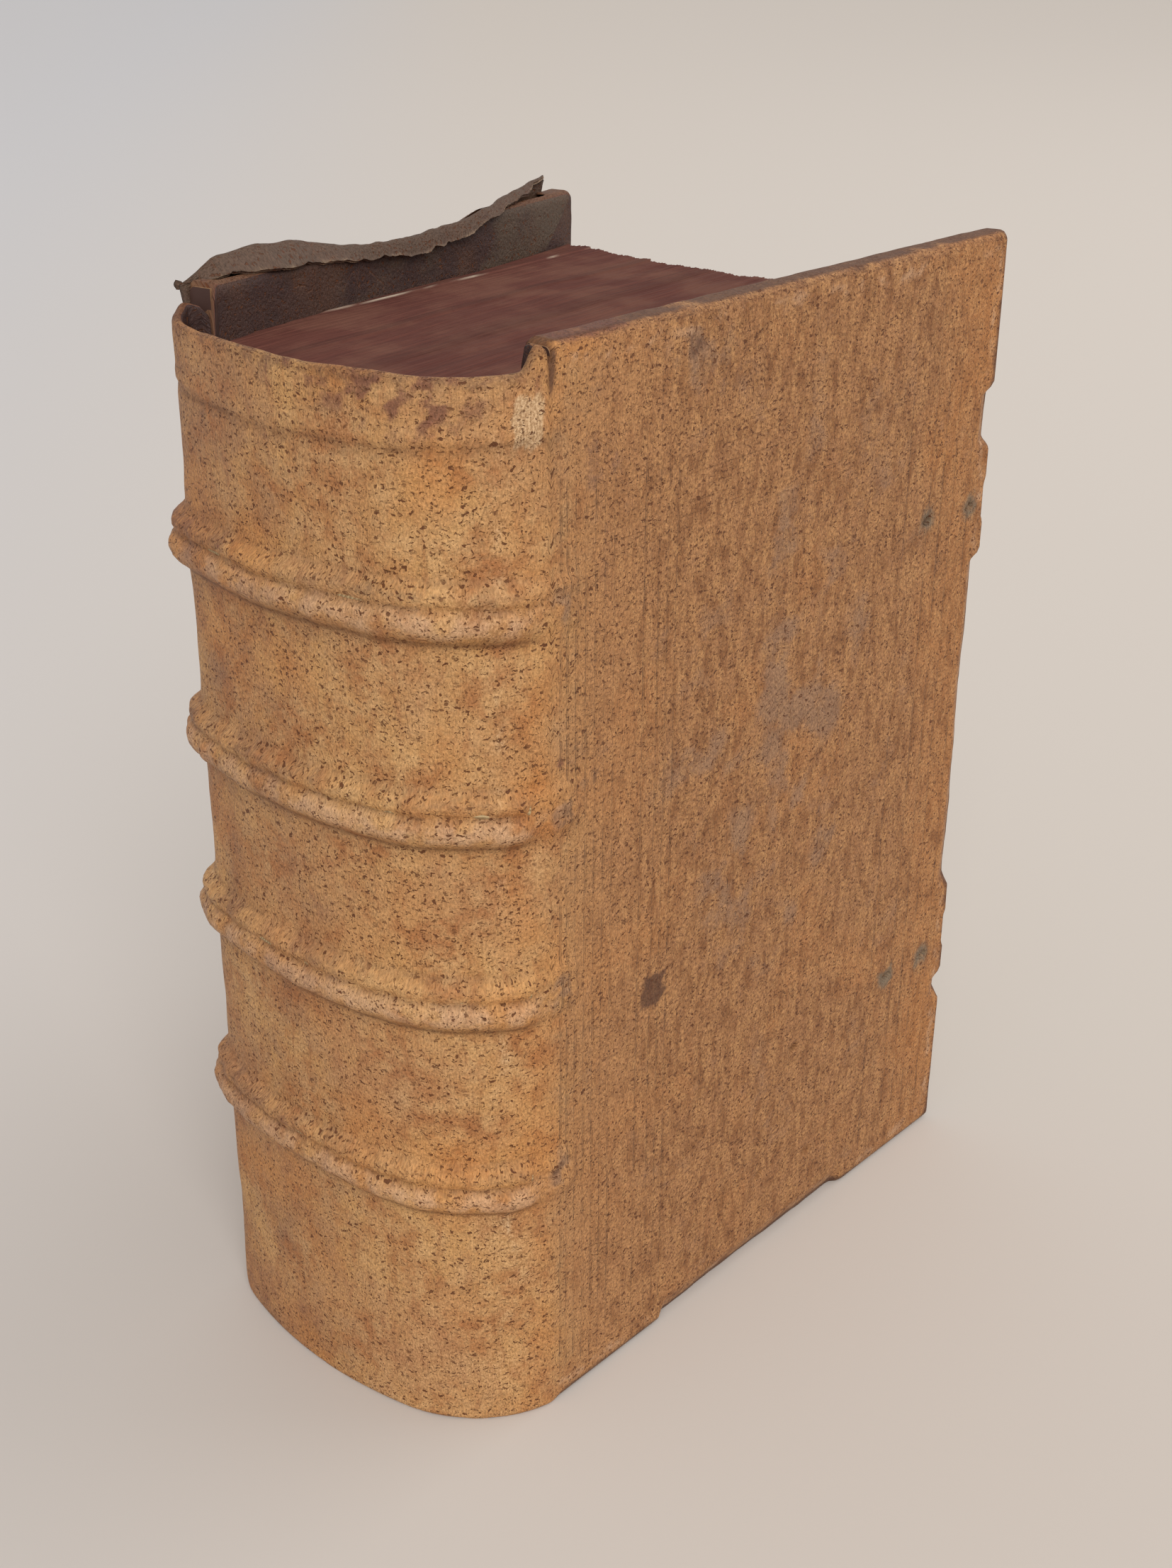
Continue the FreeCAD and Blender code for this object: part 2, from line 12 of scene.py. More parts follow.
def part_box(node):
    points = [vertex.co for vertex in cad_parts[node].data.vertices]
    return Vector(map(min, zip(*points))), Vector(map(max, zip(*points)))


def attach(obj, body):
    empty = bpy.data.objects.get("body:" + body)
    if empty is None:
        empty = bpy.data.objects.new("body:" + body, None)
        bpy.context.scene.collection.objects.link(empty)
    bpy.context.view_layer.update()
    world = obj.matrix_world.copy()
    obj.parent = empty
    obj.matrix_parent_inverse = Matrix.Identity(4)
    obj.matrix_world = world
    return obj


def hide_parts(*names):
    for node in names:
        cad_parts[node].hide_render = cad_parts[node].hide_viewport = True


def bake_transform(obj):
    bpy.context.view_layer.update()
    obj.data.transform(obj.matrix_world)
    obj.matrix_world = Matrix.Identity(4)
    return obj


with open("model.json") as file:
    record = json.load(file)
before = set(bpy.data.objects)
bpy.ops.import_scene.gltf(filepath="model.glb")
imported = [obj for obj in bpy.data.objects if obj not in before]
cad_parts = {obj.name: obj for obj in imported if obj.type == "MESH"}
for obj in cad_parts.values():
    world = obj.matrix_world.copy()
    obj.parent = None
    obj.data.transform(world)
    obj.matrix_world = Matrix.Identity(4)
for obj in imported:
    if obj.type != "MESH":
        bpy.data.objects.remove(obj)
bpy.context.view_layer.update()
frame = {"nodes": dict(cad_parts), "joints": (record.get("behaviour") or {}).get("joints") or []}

# Sizes in millimetres, in each cover's own frame: X from the joint to the fore-edge,
# Y inwards from the outer face, Z up from the tail.
MM = 0.001
SPLAY = 11.0
CROWN_Y = 42.0
CROWN_RADIUS = 95.0
SHOULDER_RADIUS = {"front": 28.0, "back": 16.0}
LEATHER = 1.0
BEVEL_WIDTH, BEVEL_DEPTH, BEVEL_STOP = 5.3, 2.6, 4.0
CORNER_LAND_TAIL, CORNER_LAND_HEAD = 32.0, 29.0
TAIL_LAND_JOINT, TAIL_LAND_FORE = 31.0, 35.0
CLASPS = (52.5, 154.9)
CLASP_LAND = 19.0
RECESS_WIDTH, RECESS_DEPTH, RECESS_SLOPE = 7.0, 1.8, 2.8
PIN_HOLES = ((22.5, 155.0), (6.6, 154.6), (24.6, 49.6), (10.0, 49.0))
WORMHOLES = ((75.0, 47.0), (82.5, 17.6), (64.7, 20.0))
BANDS = (55.0, 94.0, 130.0, 167.0)
TURN_IN = 16.0
RIM_DROP = 4.5
CREASE_DROP = 15.5
# How far the raised bands stand over the crown of the spine
BAND_RISE = 3.0
# Radii of the rounded edges along X, Y and Z, and of the corners at the tail and the head
EDGE_RADII = (1.4, 1.7, 2.2)
CORNER_TAIL, CORNER_HEAD = 4.0, 3.4
# Thickness of the leather where it is turned over at the ends of the spine
TURNED_EDGE = 1.9
TEXT_HEAD, TEXT_TAIL = 200.0, 0.8

# The leather torn from the head of the back board and standing over its edge: share along
# the edge, how far below the head it starts, where it turns, and its tip, both as distance
# inwards and above the board.
FLAP_START, FLAP_END, FLAP_LEATHER = 0.6, 113.2, 1.1
FLAP = ((0.0, 3.0, (-1.0, -0.4), (-1.2, -1.8)), (0.05, 3.0, (0.8, 4.4), (5.2, 0.6)),
        (0.14, 3.0, (1.8, 5.8), (7.0, 0.0)), (0.24, 3.4, (2.6, 4.6), (7.4, -1.0)),
        (0.34, 5.6, (4.4, 2.0), (7.6, -1.8)), (0.44, 6.4, (6.6, 0.9), (7.9, -3.0)),
        (0.55, 6.4, (6.9, 0.9), (8.3, -4.2)), (0.70, 6.0, (6.4, 1.3), (8.0, -2.8)),
        (0.78, 4.8, (5.4, 2.0), (7.4, -0.8)), (0.86, 3.6, (3.8, 2.8), (6.6, 0.8)),
        (0.94, 3.0, (2.0, 3.2), (4.6, 1.9)), (1.0, 3.0, (0.9, 3.0), (1.7, 3.2)))
WORN_HEAD = ((0.22, 0.0), (0.32, 1.0), (0.66, 1.0), (0.78, 0.0))
WORN_OUTER_DROP, WORN_INNER_DROP = 3.8, 0.6

joints = {joint["name"]: joint for joint in frame["joints"]}
HINGE = {side: np.array(joints[side + "_cover_hinge"]["pos_m"][:2]) / MM
         for side in ("front", "back")}


def box_mm(node):
    low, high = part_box(node)
    return np.array(low) / MM, np.array(high) / MM


BOARD_HEIGHT = box_mm("front_cover_leather")[1][2]
WIDTH = {"front": box_mm("front_cover_leather")[1][0] - HINGE["front"][0], "back": 121.0}
THICK = box_mm("front_cover_leather")[1][1] - HINGE["front"][1]
CROWN_X = box_mm("spine_leather")[0][0] + BAND_RISE - HINGE["front"][0]


def to_row(side, points):
    """Points of a cover's own frame, in millimetres, to the row's frame."""
    x, y, z = points[..., 0], points[..., 1], points[..., 2]
    if side == "front":
        return np.stack([x + HINGE["front"][0], y + HINGE["front"][1], z], -1)
    turn = math.radians(SPLAY)
    return np.stack([HINGE["back"][0] + x * math.cos(turn) + y * math.sin(turn),
                     HINGE["back"][1] + x * math.sin(turn) - y * math.cos(turn), z], -1)


# Smooth random fields

def lattice(ix, iy, seed):
    """Repeatable random numbers from 0 to 1 on whole-number points."""
    mixed = (ix.astype(np.int64) * 374761393 + iy.astype(np.int64) * 668265263
             + seed * 1442695041) & 0xFFFFFFFF
    mixed = ((mixed ^ (mixed >> 13)) * 1274126177) & 0xFFFFFFFF
    mixed = mixed ^ (mixed >> 16)
    return (mixed & 0xFFFFFF) / float(0xFFFFFF)


def noise(x, y, scale, seed, octaves=2):
    """Value noise from -1 to 1 whose features are about scale millimetres wide."""
    total = np.zeros(np.broadcast(x, y).shape)
    weight = 1.0
    sum_weight = 0.0
    for _ in range(octaves):
        px, py = np.asarray(x) / scale, np.asarray(y) / scale
        ix, iy = np.floor(px), np.floor(py)
        fx, fy = px - ix, py - iy
        fx = fx * fx * fx * (fx * (fx * 6 - 15) + 10)
        fy = fy * fy * fy * (fy * (fy * 6 - 15) + 10)
        a, b = lattice(ix, iy, seed), lattice(ix + 1, iy, seed)
        c, d = lattice(ix, iy + 1, seed), lattice(ix + 1, iy + 1, seed)
        total += weight * ((a * (1 - fx) + b * fx) * (1 - fy) + (c * (1 - fx) + d * fx) * fy)
        sum_weight += weight
        weight *= 0.5
        scale *= 0.5
        seed += 17
    return total / sum_weight * 2 - 1


def smooth(low, high, value):
    """0 below low, 1 above high, and a soft step between."""
    part = np.clip((value - low) / (high - low), 0, 1)
    return part * part * (3 - 2 * part)


def bump(value, centre, width):
    """A soft bump of height 1."""
    return np.exp(-((value - centre) / width) ** 2)


def spot(u, z, centre, radii):
    """A soft oval spot of height 1."""
    return np.exp(-(((u - centre[0]) / radii[0]) ** 2 + ((z - centre[1]) / radii[1]) ** 2))


# The spine's outline

class SpineHalf:
    """The outline from one joint to the crown, by distance from the joint."""

    def __init__(self, side):
        self.side = side
        joint = HINGE[side] - HINGE["front"]
        radius = SHOULDER_RADIUS[side]
        crown = np.array([CROWN_X + CROWN_RADIUS, CROWN_Y])
        away = joint - crown
        span = np.hypot(*away)
        rest = CROWN_RADIUS - radius
        lean = math.acos((span ** 2 + rest ** 2 - radius ** 2) / (2 * span * rest))
        way = 1 if side == "front" else -1
        meet_angle = math.atan2(away[1], away[0]) % (2 * math.pi) - way * lean
        self.crown, self.radius, self.way, self.meet_angle = crown, radius, way, meet_angle
        self.centre = crown + rest * np.array([math.cos(meet_angle), math.sin(meet_angle)])
        start = joint - self.centre
        self.start_angle = math.atan2(start[1], start[0]) % (2 * math.pi)
        self.shoulder_length = abs(self.start_angle - meet_angle) * radius
        self.length = self.shoulder_length + abs(math.pi - meet_angle) * CROWN_RADIUS

    def at(self, distance):
        """Points and outward directions in the row's plan, at distances from the joint."""
        distance = np.asarray(distance, float)
        on_shoulder = distance < self.shoulder_length
        angle = np.where(on_shoulder, self.start_angle - self.way * distance / self.radius,
                         self.meet_angle - self.way * (distance - self.shoulder_length)
                         / CROWN_RADIUS)
        out = np.stack([np.cos(angle), np.sin(angle)], -1)
        centre = np.where(on_shoulder[..., None], self.centre, self.crown)
        radius = np.where(on_shoulder, self.radius, CROWN_RADIUS)[..., None]
        return centre + out * radius + HINGE["front"], out


HALF = {side: SpineHalf(side) for side in ("front", "back")}
SPINE_LENGTH = HALF["front"].length + HALF["back"].length


def whole_sheet(side, u):
    """Distance along the whole hide, measured from the front joint; the back runs negative."""
    return u if side == "front" else -SPINE_LENGTH - u


def cover_out(side):
    """Outward direction of a cover's outer face in the row's plan."""
    turn = math.radians(SPLAY)
    return np.array([0, -1.0]) if side == "front" else np.array([-math.sin(turn), math.cos(turn)])


def profile(side, u):
    """The leather's outline at sheet distance u from the joint, softened at the joint."""
    u = np.asarray(u, float)
    spread = np.where(u > -3, 2.0, 0.3)
    total = np.zeros(u.shape + (2,))
    samples = np.linspace(-1, 1, 9)
    for sample in samples:
        place = u + sample * spread * (np.abs(u) < 6)
        on_spine, _ = HALF[side].at(np.maximum(-place, 0))
        flat = np.stack([np.maximum(place, 0), np.zeros_like(u), np.zeros_like(u)], -1)
        on_board = to_row(side, flat)[..., :2]
        total += np.where((place < 0)[..., None], on_spine, on_board)
    return total / len(samples)


# Meshes

class Sheet:
    """Gathers grids of points with a sheet coordinate, and welds them into one mesh."""

    def __init__(self):
        self.points, self.faces, self.sheet, self.kinds = [], [], [], []
        self.count = 0

    def grid(self, points, sheet, kind=0, flip=False):
        """points and sheet are arrays of rows by columns."""
        rows, columns = points.shape[:2]
        index = np.arange(rows * columns).reshape(rows, columns) + self.count
        quads = np.stack([index[:-1, :-1], index[:-1, 1:], index[1:, 1:], index[1:, :-1]], -1)
        quads = quads.reshape(-1, 4)
        self.faces.append(quads[:, ::-1] if flip else quads)
        self.kinds.append(np.full(len(quads), kind))
        self.points.append(points.reshape(-1, 3))
        self.sheet.append(sheet.reshape(-1, 2))
        self.count += rows * columns

    def arrays(self):
        return (np.concatenate(self.points), np.concatenate(self.faces),
                np.concatenate(self.sheet), np.concatenate(self.kinds))


def unit(vectors):
    """Vectors brought to length 1."""
    return vectors / np.maximum(np.linalg.norm(vectors, axis=-1, keepdims=True), 1e-12)


def normals_of(points, faces):
    """Vertex directions from the faces round each vertex."""
    diagonal_a = points[faces[:, 2]] - points[faces[:, 0]]
    diagonal_b = points[faces[:, 3]] - points[faces[:, 1]]
    cross = np.cross(diagonal_a, diagonal_b)
    total = np.zeros_like(points)
    for corner in range(4):
        np.add.at(total, faces[:, corner], cross)
    return unit(total)


def welded(sheet):
    """A sheet's points with doubles made one, its faces, the places on the hide, the kinds
    and the place on the hide of each corner of each face."""
    points, faces, unfolded, kinds = sheet.arrays()
    keys = np.round(points / 0.004).astype(np.int64)
    _, first, inverse = np.unique(keys, axis=0, return_index=True, return_inverse=True)
    return (points[first], inverse.reshape(-1)[faces], unfolded[first], kinds,
            unfolded[faces])


def linked(name, data):
    """A new object of the scene."""
    thing = bpy.data.objects.new(name, data)
    bpy.context.scene.collection.objects.link(thing)
    return thing


def make_object(name, points, faces, corner_sheet, kinds, materials, attributes=None):
    """A mesh object in metres from millimetre points, with its sheet coordinates as UVs."""
    solid = np.array([len(set(face)) == 4 for face in faces.tolist()])
    triangles = [tuple(dict.fromkeys(face)) for face in faces[~solid].tolist()]
    keep = [face for face in triangles if len(face) == 3]
    mesh = bpy.data.meshes.new(name)
    quads = faces[solid]
    mesh.from_pydata((points * MM).tolist(), [], quads.tolist() + keep)
    mesh.update()
    layer = mesh.uv_layers.new(name="sheet")
    values = corner_sheet[solid].reshape(-1, 2)
    extra = []
    for face, corners in zip(faces[~solid].tolist(), corner_sheet[~solid]):
        seen = {}
        for vertex, corner in zip(face, corners):
            seen.setdefault(vertex, corner)
        if len(seen) == 3:
            extra.extend(seen.values())
    if extra:
        values = np.concatenate([values, np.array(extra)])
    layer.data.foreach_set("uv", (values * MM).astype(np.float32).ravel())
    kept_kinds = np.concatenate([kinds[solid], np.zeros(len(keep), int)])
    mesh.polygons.foreach_set("material_index", kept_kinds.astype(np.int32))
    mesh.polygons.foreach_set("use_smooth", np.ones(len(mesh.polygons), bool))
    for word, value in (attributes or {}).items():
        attribute = mesh.attributes.new(word, "FLOAT_COLOR", "POINT")
        attribute.data.foreach_set("color", value.astype(np.float32).ravel())
    for material in materials:
        mesh.materials.append(material)
    mesh.validate()
    return linked(name, mesh)


# Leather: each half runs from the middle of the spine round the joint and over the board

def stop_ramp(place, runs):
    """1 inside the runs of a bevel and 0 outside, with sloping stops."""
    total = np.zeros_like(place)
    for start, end in runs:
        total = np.maximum(total, smooth(start, start + BEVEL_STOP, place)
                           * (1 - smooth(end - BEVEL_STOP, end, place)))
    return total


def fore_runs():
    low, high = CLASPS
    half = CLASP_LAND / 2
    return ((CORNER_LAND_TAIL, low - half), (low + half, high - half),
            (high + half, BOARD_HEIGHT - CORNER_LAND_HEAD))


def shape_board(side, points):
    """Rounds, bevels and notches points of a cover's box, given in its own frame."""
    width = WIDTH[side]
    low = np.array([-400.0, 0, 0])
    high = np.array([width, THICK, BOARD_HEIGHT])
    radius = np.array(EDGE_RADII)
    shaped = points.copy()
    for end, corner in ((0.0, CORNER_TAIL), (BOARD_HEIGHT, CORNER_HEAD)):
        centre_z = abs(end - corner)
        out_x = np.maximum(shaped[..., 0] - (width - corner), 0)
        out_z = np.maximum((shaped[..., 2] - centre_z) * (1 if end else -1), 0)
        reach = np.hypot(out_x, out_z)
        longest = np.maximum(out_x, out_z)
        scale = np.where(reach > 1e-6, longest / np.maximum(reach, 1e-9), 1)
        both = (out_x > 0) & (out_z > 0)
        shaped[..., 0] = np.where(both, width - corner + out_x * scale, shaped[..., 0])
        shaped[..., 2] = np.where(both, centre_z + out_z * scale * (1 if end else -1),
                                  shaped[..., 2])
    core = np.clip(shaped, low + radius, high - radius)
    away = (shaped - core) / radius
    length = np.linalg.norm(away, axis=-1, keepdims=True)
    rounded = core + radius * away / np.maximum(length, 1e-9)
    shaped = np.where(length > 1e-6, rounded, shaped)
    if side == "back":
        known, shares = zip(*WORN_HEAD)
        share = np.interp(shaped[..., 0] / width, known, shares)
        slope = (WORN_OUTER_DROP - WORN_INNER_DROP) / THICK
        ceiling = BOARD_HEIGHT - share * (WORN_OUTER_DROP - slope * shaped[..., 1])
        shaped[..., 2] = np.minimum(shaped[..., 2], ceiling + 9 * (share <= 0))
    slant = math.hypot(BEVEL_WIDTH, BEVEL_DEPTH)
    reach = BEVEL_WIDTH * BEVEL_DEPTH / slant
    wobble = 0.35 * noise(points[..., 0], points[..., 2], 14.0, 5)
    edges = ((0, width - shaped[..., 0], stop_ramp(shaped[..., 2], fore_runs())),
             (2, shaped[..., 2],
              stop_ramp(shaped[..., 0], ((TAIL_LAND_JOINT, width - TAIL_LAND_FORE),))))
    for axis, inset, share in edges:
        height = (BEVEL_DEPTH * (BEVEL_WIDTH - inset) - BEVEL_WIDTH * shaped[..., 1]) / slant
        over = height - reach * (1 - share) + wobble * share
        over = 0.5 * (over + np.sqrt(over ** 2 + 0.1)) - 0.12
        over = np.maximum(over, 0) * share
        sign = 1 if axis == 0 else -1
        shaped[..., axis] -= sign * over * BEVEL_DEPTH / slant
        shaped[..., 1] += over * BEVEL_WIDTH / slant
    limit = np.full(shaped.shape[:-1], 1e6)
    for height in CLASPS:
        past = np.maximum(np.abs(shaped[..., 2] - height) - RECESS_WIDTH / 2, 0)
        limit = np.minimum(limit, width - RECESS_DEPTH + past * RECESS_DEPTH / RECESS_SLOPE)
    shaped[..., 0] = np.minimum(shaped[..., 0], limit)
    return shaped


def band_profile(away):
    """Height of the leather over a double cord, by distance above the band's middle."""
    ridge = 3.0 * np.exp(-(np.abs(away + 1.4) / 3.1) ** 3)
    ledge = 2.35 * np.exp(-(np.abs(away - 2.9) / 1.9) ** 3)
    return (ridge ** 4 + ledge ** 4) ** 0.25 + 0.3 * bump(away, 0, 7.5)


def above_band(index, s, z):
    """Height above the middle of a band, which wanders a little along the hide."""
    return z - BANDS[index] - 0.5 * noise(s, z * 0 + index * 9, 16.0, 21 + index)


def above_crease(s, u, z):
    """Height above the crease that runs across the spine below its head."""
    return z - (BOARD_HEIGHT - CREASE_DROP + 0.03 * u + 0.5 * noise(s, s * 0, 11.0, 46))


def band_height(side, u, z):
    """Raised bands over the double cords, with their ends laced in under the leather."""
    rise = np.zeros(np.broadcast(u, z).shape)
    s = whole_sheet(side, u)
    for index in range(len(BANDS)):
        both = band_profile(above_band(index, s, z))
        both *= 1 + 0.10 * noise(s, z * 0.4, 4.5, 36 + index, 3)
        lumps = 0.7 + 0.45 * noise(s, z, 3.0, 31 + index)
        fade = 1 - smooth(-7.0, -0.8, u)
        ends = 0.42 * lumps * smooth(-4, 1.0, u) * (1 - smooth(4.0, 8.0, u))
        rise += both * (fade + ends)
    return rise


def pits(u, z, centres, inner):
    """Round holes of the front board, 1 within the inner radius and 0 beyond 0.95 mm."""
    return sum(1 - smooth(inner, 0.95, np.hypot(u - x, z - y)) for x, y in centres)


def worm_pit(u, z):
    return pits(u, z, WORMHOLES, 0.45)


def pin_pit(u, z):
    return pits(u, z, [(WIDTH["front"] - x, y) for x, y in PIN_HOLES], 0.4)


def relief(side, u, z):
    """How far the leather stands out from its plain surface."""
    s = whole_sheet(side, u)
    spine = 1 - smooth(-4, 2, u)
    near = sum(bump(z, band, 6.0) for band in BANDS)
    rise = band_height(side, u, z)
    rise += spine * (0.25 * noise(s, z, 21.0, 40) + 0.12 * noise(s, z, 6.0, 41))
    rise += spine * near * (0.34 * noise(s, z * 0.3, 2.2, 42) + 0.34 * noise(s, z, 3.0, 48, 3))
    rise += (1 - spine) * (0.12 * noise(s, z, 32.0, 43) + 0.08 * noise(s, z, 8.0, 44))
    rise += bump(u, 0.6, 3.0) * 0.30 * noise(s * 0.5, z, 6.0, 45)
    crease = above_crease(s, u, z)
    rise -= 0.3 * spine * bump(crease, 0, 0.8)
    rise += 0.22 * spine * bump(crease, 1.6, 1.2)
    rise += 0.10 * noise(s, z, 2.6, 47) * smooth(192, 202, z) * spine
    if side == "front":
        rise -= 3.2 * worm_pit(u, z)
        rise -= 3.0 * pin_pit(u, z)
    return rise


def leather_masks(side, u, z, inner):
    """Two sets of four masks: (grey, dark, orange, green) and (wear_and_highlight, groove_shade,
    red, pale); dark and red are partly painted shade, groove_shade is painted shade, and the torn
    flap puts a painted highlight into wear_and_highlight.
    """
    width = WIDTH[side]
    s = whole_sheet(side, u)
    loose = noise(s, z, 9.0, 90, 3)
    fine = noise(s, z, 2.6, 91, 3)
    spine = 1 - smooth(-3, 2, u)
    board = 1 - spine
    edge_gap = np.minimum.reduce([width - u, z, BOARD_HEIGHT - z]) * board + 40 * spine
    middle = spot(u, z, (66, 122), (30, 46))
    grey = board * (0.75 * middle * smooth(-0.4, 0.4, loose) + 0.3 * smooth(0.1, 0.6, loose)
                    + 0.2 * fine)
    grey += 0.15 * spine * smooth(0.2, 0.8, noise(s, z, 26.0, 92))
    head_share = smooth(BOARD_HEIGHT - 8, BOARD_HEIGHT - 3, z) * (1 - smooth(width - 4, width, u))
    dark = board * (0.75 * (1 - 0.6 * head_share) * (1 - smooth(0.3, 3.0, edge_gap + 1.5 * loose))
                    + 0.3 * smooth(0.35, 0.7, noise(s, z, 5.0, 93, 3)))
    dark += 0.5 * spine * smooth(0.5, 4.0, 4.2 - (head_rise(side, u) - z) + 1.2 * loose)
    # Painted shade: a dark streak down the joint just under the split at its head.
    dark += bump(u, 0.1, 0.8 if side == "front" else 1.6) * smooth(200.5, 204.5, z)
    hinge = bump(u, 0.8, 2.5)
    dark += 0.3 * hinge * smooth(0.0, 0.6, noise(s, z, 6.0, 94, 3))
    far = smooth(26, 62, -s) * (1 - smooth(SPINE_LENGTH, SPINE_LENGTH + 8, -s))
    orange = 0.8 * smooth(-0.1, 0.8, noise(s, z, 19.0, 95)) * (0.4 + 0.6 * spine)
    orange += 0.5 * spine * bump(u, -4.5, 5.0) * smooth(-0.5, 0.5, loose)
    orange += 0.35 * hinge * smooth(0.0, 0.6, noise(s, z, 8.0, 96))
    orange += 0.35 * board * smooth(width - 30, width - 8, u)
    wear_and_highlight = 0.75 * board * bump(edge_gap, 3.4, 1.4) * smooth(-0.2, 0.6, fine)
    # groove_shade is painted shade: dark lines in grooves, holes, splits and cracks.
    groove_shade = np.zeros_like(loose)
    on_spine = 1 - smooth(-8, 1, u)
    patchy = smooth(-0.7, 0.2, fine)
    for index in range(len(BANDS)):
        away = above_band(index, s, z)
        # Painted shade: dark lines between the two cords and along the bands' edges, and darker
        # strips just above and below each band.
        groove_shade += on_spine * (0.60 * bump(away, 1.25, 0.5) * patchy + 0.70 * bump(away, -5.0, 0.6)
                              + 0.35 * bump(away, 5.6, 0.7) * patchy)
        dark += 0.42 * on_spine * bump(away, 3.7, 1.7) * smooth(-0.8, 0.4, loose)
        dark += 0.25 * on_spine * bump(away, -7.2, 1.8) * smooth(-0.4, 0.5, loose)
        wear_and_highlight += 0.75 * on_spine * bump(away, -1.3, 2.6) * smooth(-0.7, 0.3, fine)
        end = spot(u, away, (1.5, 0), (3.2, 4.4))
        grey += 0.9 * end * smooth(-0.4, 0.3, fine)
        dark += 0.5 * end * smooth(-0.1, 0.6, fine)
    crease = above_crease(s, u, z)
    # Painted shade: a dark line in the crease across the spine and a darker strip just under it.
    groove_shade += 0.8 * spine * bump(crease, 0, 0.55) * smooth(-0.9, 0.0, fine)
    dark += 0.3 * spine * bump(crease, -1.2, 1.2)
    if side == "back":
        dark += 0.9 * smooth(-14, -1, u) * smooth(203.5, 206.5, z)
        grey += 0.5 * board * smooth(206, 209, z)
    green = np.zeros_like(loose)
    pale = 0.25 * spine * smooth(0.3, 0.8, noise(s, z, 12.0, 98)) * (1 - far)
    pale += 0.55 * bump(u, -9.6, 1.3) * smooth(0.1, 0.5, noise(s, z * 0.5, 1.6, 99))
    # A darker purple-brown tone over the spine's far side, partly the leather's own tone and partly
    # painted shade on the side turned from the light.
    red = 0.5 * far * (0.55 + 0.6 * loose)
    if side == "front":
        for x, y in PIN_HOLES:
            spread = np.hypot(u - (width - x), z - y) + 2.0 * fine
            green += 0.75 * (1 - smooth(1.0, 5.0, spread))
        # Painted shade in the worm holes and pin holes.
        groove_shade += 0.95 * worm_pit(u, z) + 0.95 * pin_pit(u, z)
        red += 0.9 * (1 - smooth(0.5, 1.4, np.hypot(u - 1.7, z - 138.6)))
        red += 1.3 * spot(u, z, (-25, 200), (11, 4.0)) * smooth(-0.3, 0.3, fine)
        red += 0.5 * spine * smooth(198, 204, z) * smooth(-0.1, 0.5, fine)
        scuff = spot(u, z, (28, 82), (4, 4.6)) + 0.35 * noise(s, z, 2.6, 101)
        dark += 0.95 * smooth(0.25, 0.6, scuff)
        patch = np.maximum(abs(u + 4.2) / 2.9, abs(z - 198.0) / 4.6) + 0.3 * fine
        pale += 0.95 * (1 - smooth(0.75, 1.0, patch))
        orange += 0.8 * bump(u, 6, 6) * smooth(204, 209, z + 0.8 * fine)
        streak = bump(u, 12.5, 0.7) * smooth(163, 168, z) * (1 - smooth(176, 182, z))
        brushed = smooth(-0.5, 0.4, noise(s, z * 0.22, 2.2, 104, 3))
        bruise = spot(u, z, (34, 203), (9, 5)) * brushed
        smudge = spot(u, z, (12, 188), (4, 6)) * brushed
        grey += 1.0 * bruise + 0.8 * smudge
        dark += 0.5 * bruise * smooth(-0.1, 0.5, fine) + 0.35 * smudge
        red += 0.5 * streak + 0.5 * smudge
        torn_edge = smooth(1, 3, u) * (1 - smooth(16, 24, u))
        split = BOARD_HEIGHT + 1.6 + 0.7 * noise(s, s * 0, 6.0, 100)
        # Painted shade in the split along the torn head of the board.
        groove_shade += 0.95 * torn_edge * bump(z, split, 0.45)
        red += 0.6 * torn_edge * smooth(BOARD_HEIGHT - 1.5, BOARD_HEIGHT + 1, z)
        over = board * smooth(BOARD_HEIGHT + 0.5, BOARD_HEIGHT + 2.0, z)
        dark += 0.75 * over * smooth(-0.6, 0.3, loose)
        grey *= 1 - over
        # Painted shade in the crack just below the head.
        crack = z - BOARD_HEIGHT + 1.0 - 0.6 * noise(s, s * 0, 8.0, 105)
        groove_shade += 0.8 * board * bump(crack, 0, 0.3) * smooth(-0.1, 0.3, fine)
    red = red * (1 - inner) + inner * (0.85 + 0.3 * loose)
    away = inner * smooth(14, 40, u)
    dark += inner * 0.3 * smooth(0.0, 0.6, noise(s, z, 22.0, 102))
    dark += 0.6 * away * smooth(-0.3, 0.4, loose)
    grey = grey * (1 - inner) + away * smooth(-0.3, 0.5, noise(s, z, 17.0, 103))
    first = np.stack([grey, dark, orange * (1 - inner), green], -1)
    second = np.stack([wear_and_highlight * (1 - 0.5 * inner), groove_shade, red, pale * (1 - inner)], -1)
    return np.clip(first, 0, 1), np.clip(second, 0, 1)


def walk(start, end, spacing):
    """Places from start to end whose steps follow spacing(place)."""
    places = [start]
    while places[-1] < end:
        places.append(places[-1] + spacing(places[-1]))
    places = np.array(places)
    return start + (places - start) * (end - start) / (places[-1] - start)


def row_step(z):
    near_edge = min(z, BOARD_HEIGHT - z)
    if near_edge < 3:
        return 0.45
    if min(abs(z - band) for band in BANDS) < 8:
        return 0.62
    if min(abs(z - height) for height in CLASPS) < 7 or near_edge < 7:
        return 0.8
    return 1.25


def column_step(side):
    width = WIDTH[side]

    def step(u):
        if u > width - 7:
            return 0.45
        if -9 < u < 9:
            return 0.6
        return 0.95 if u < 0 else 1.3
    return step


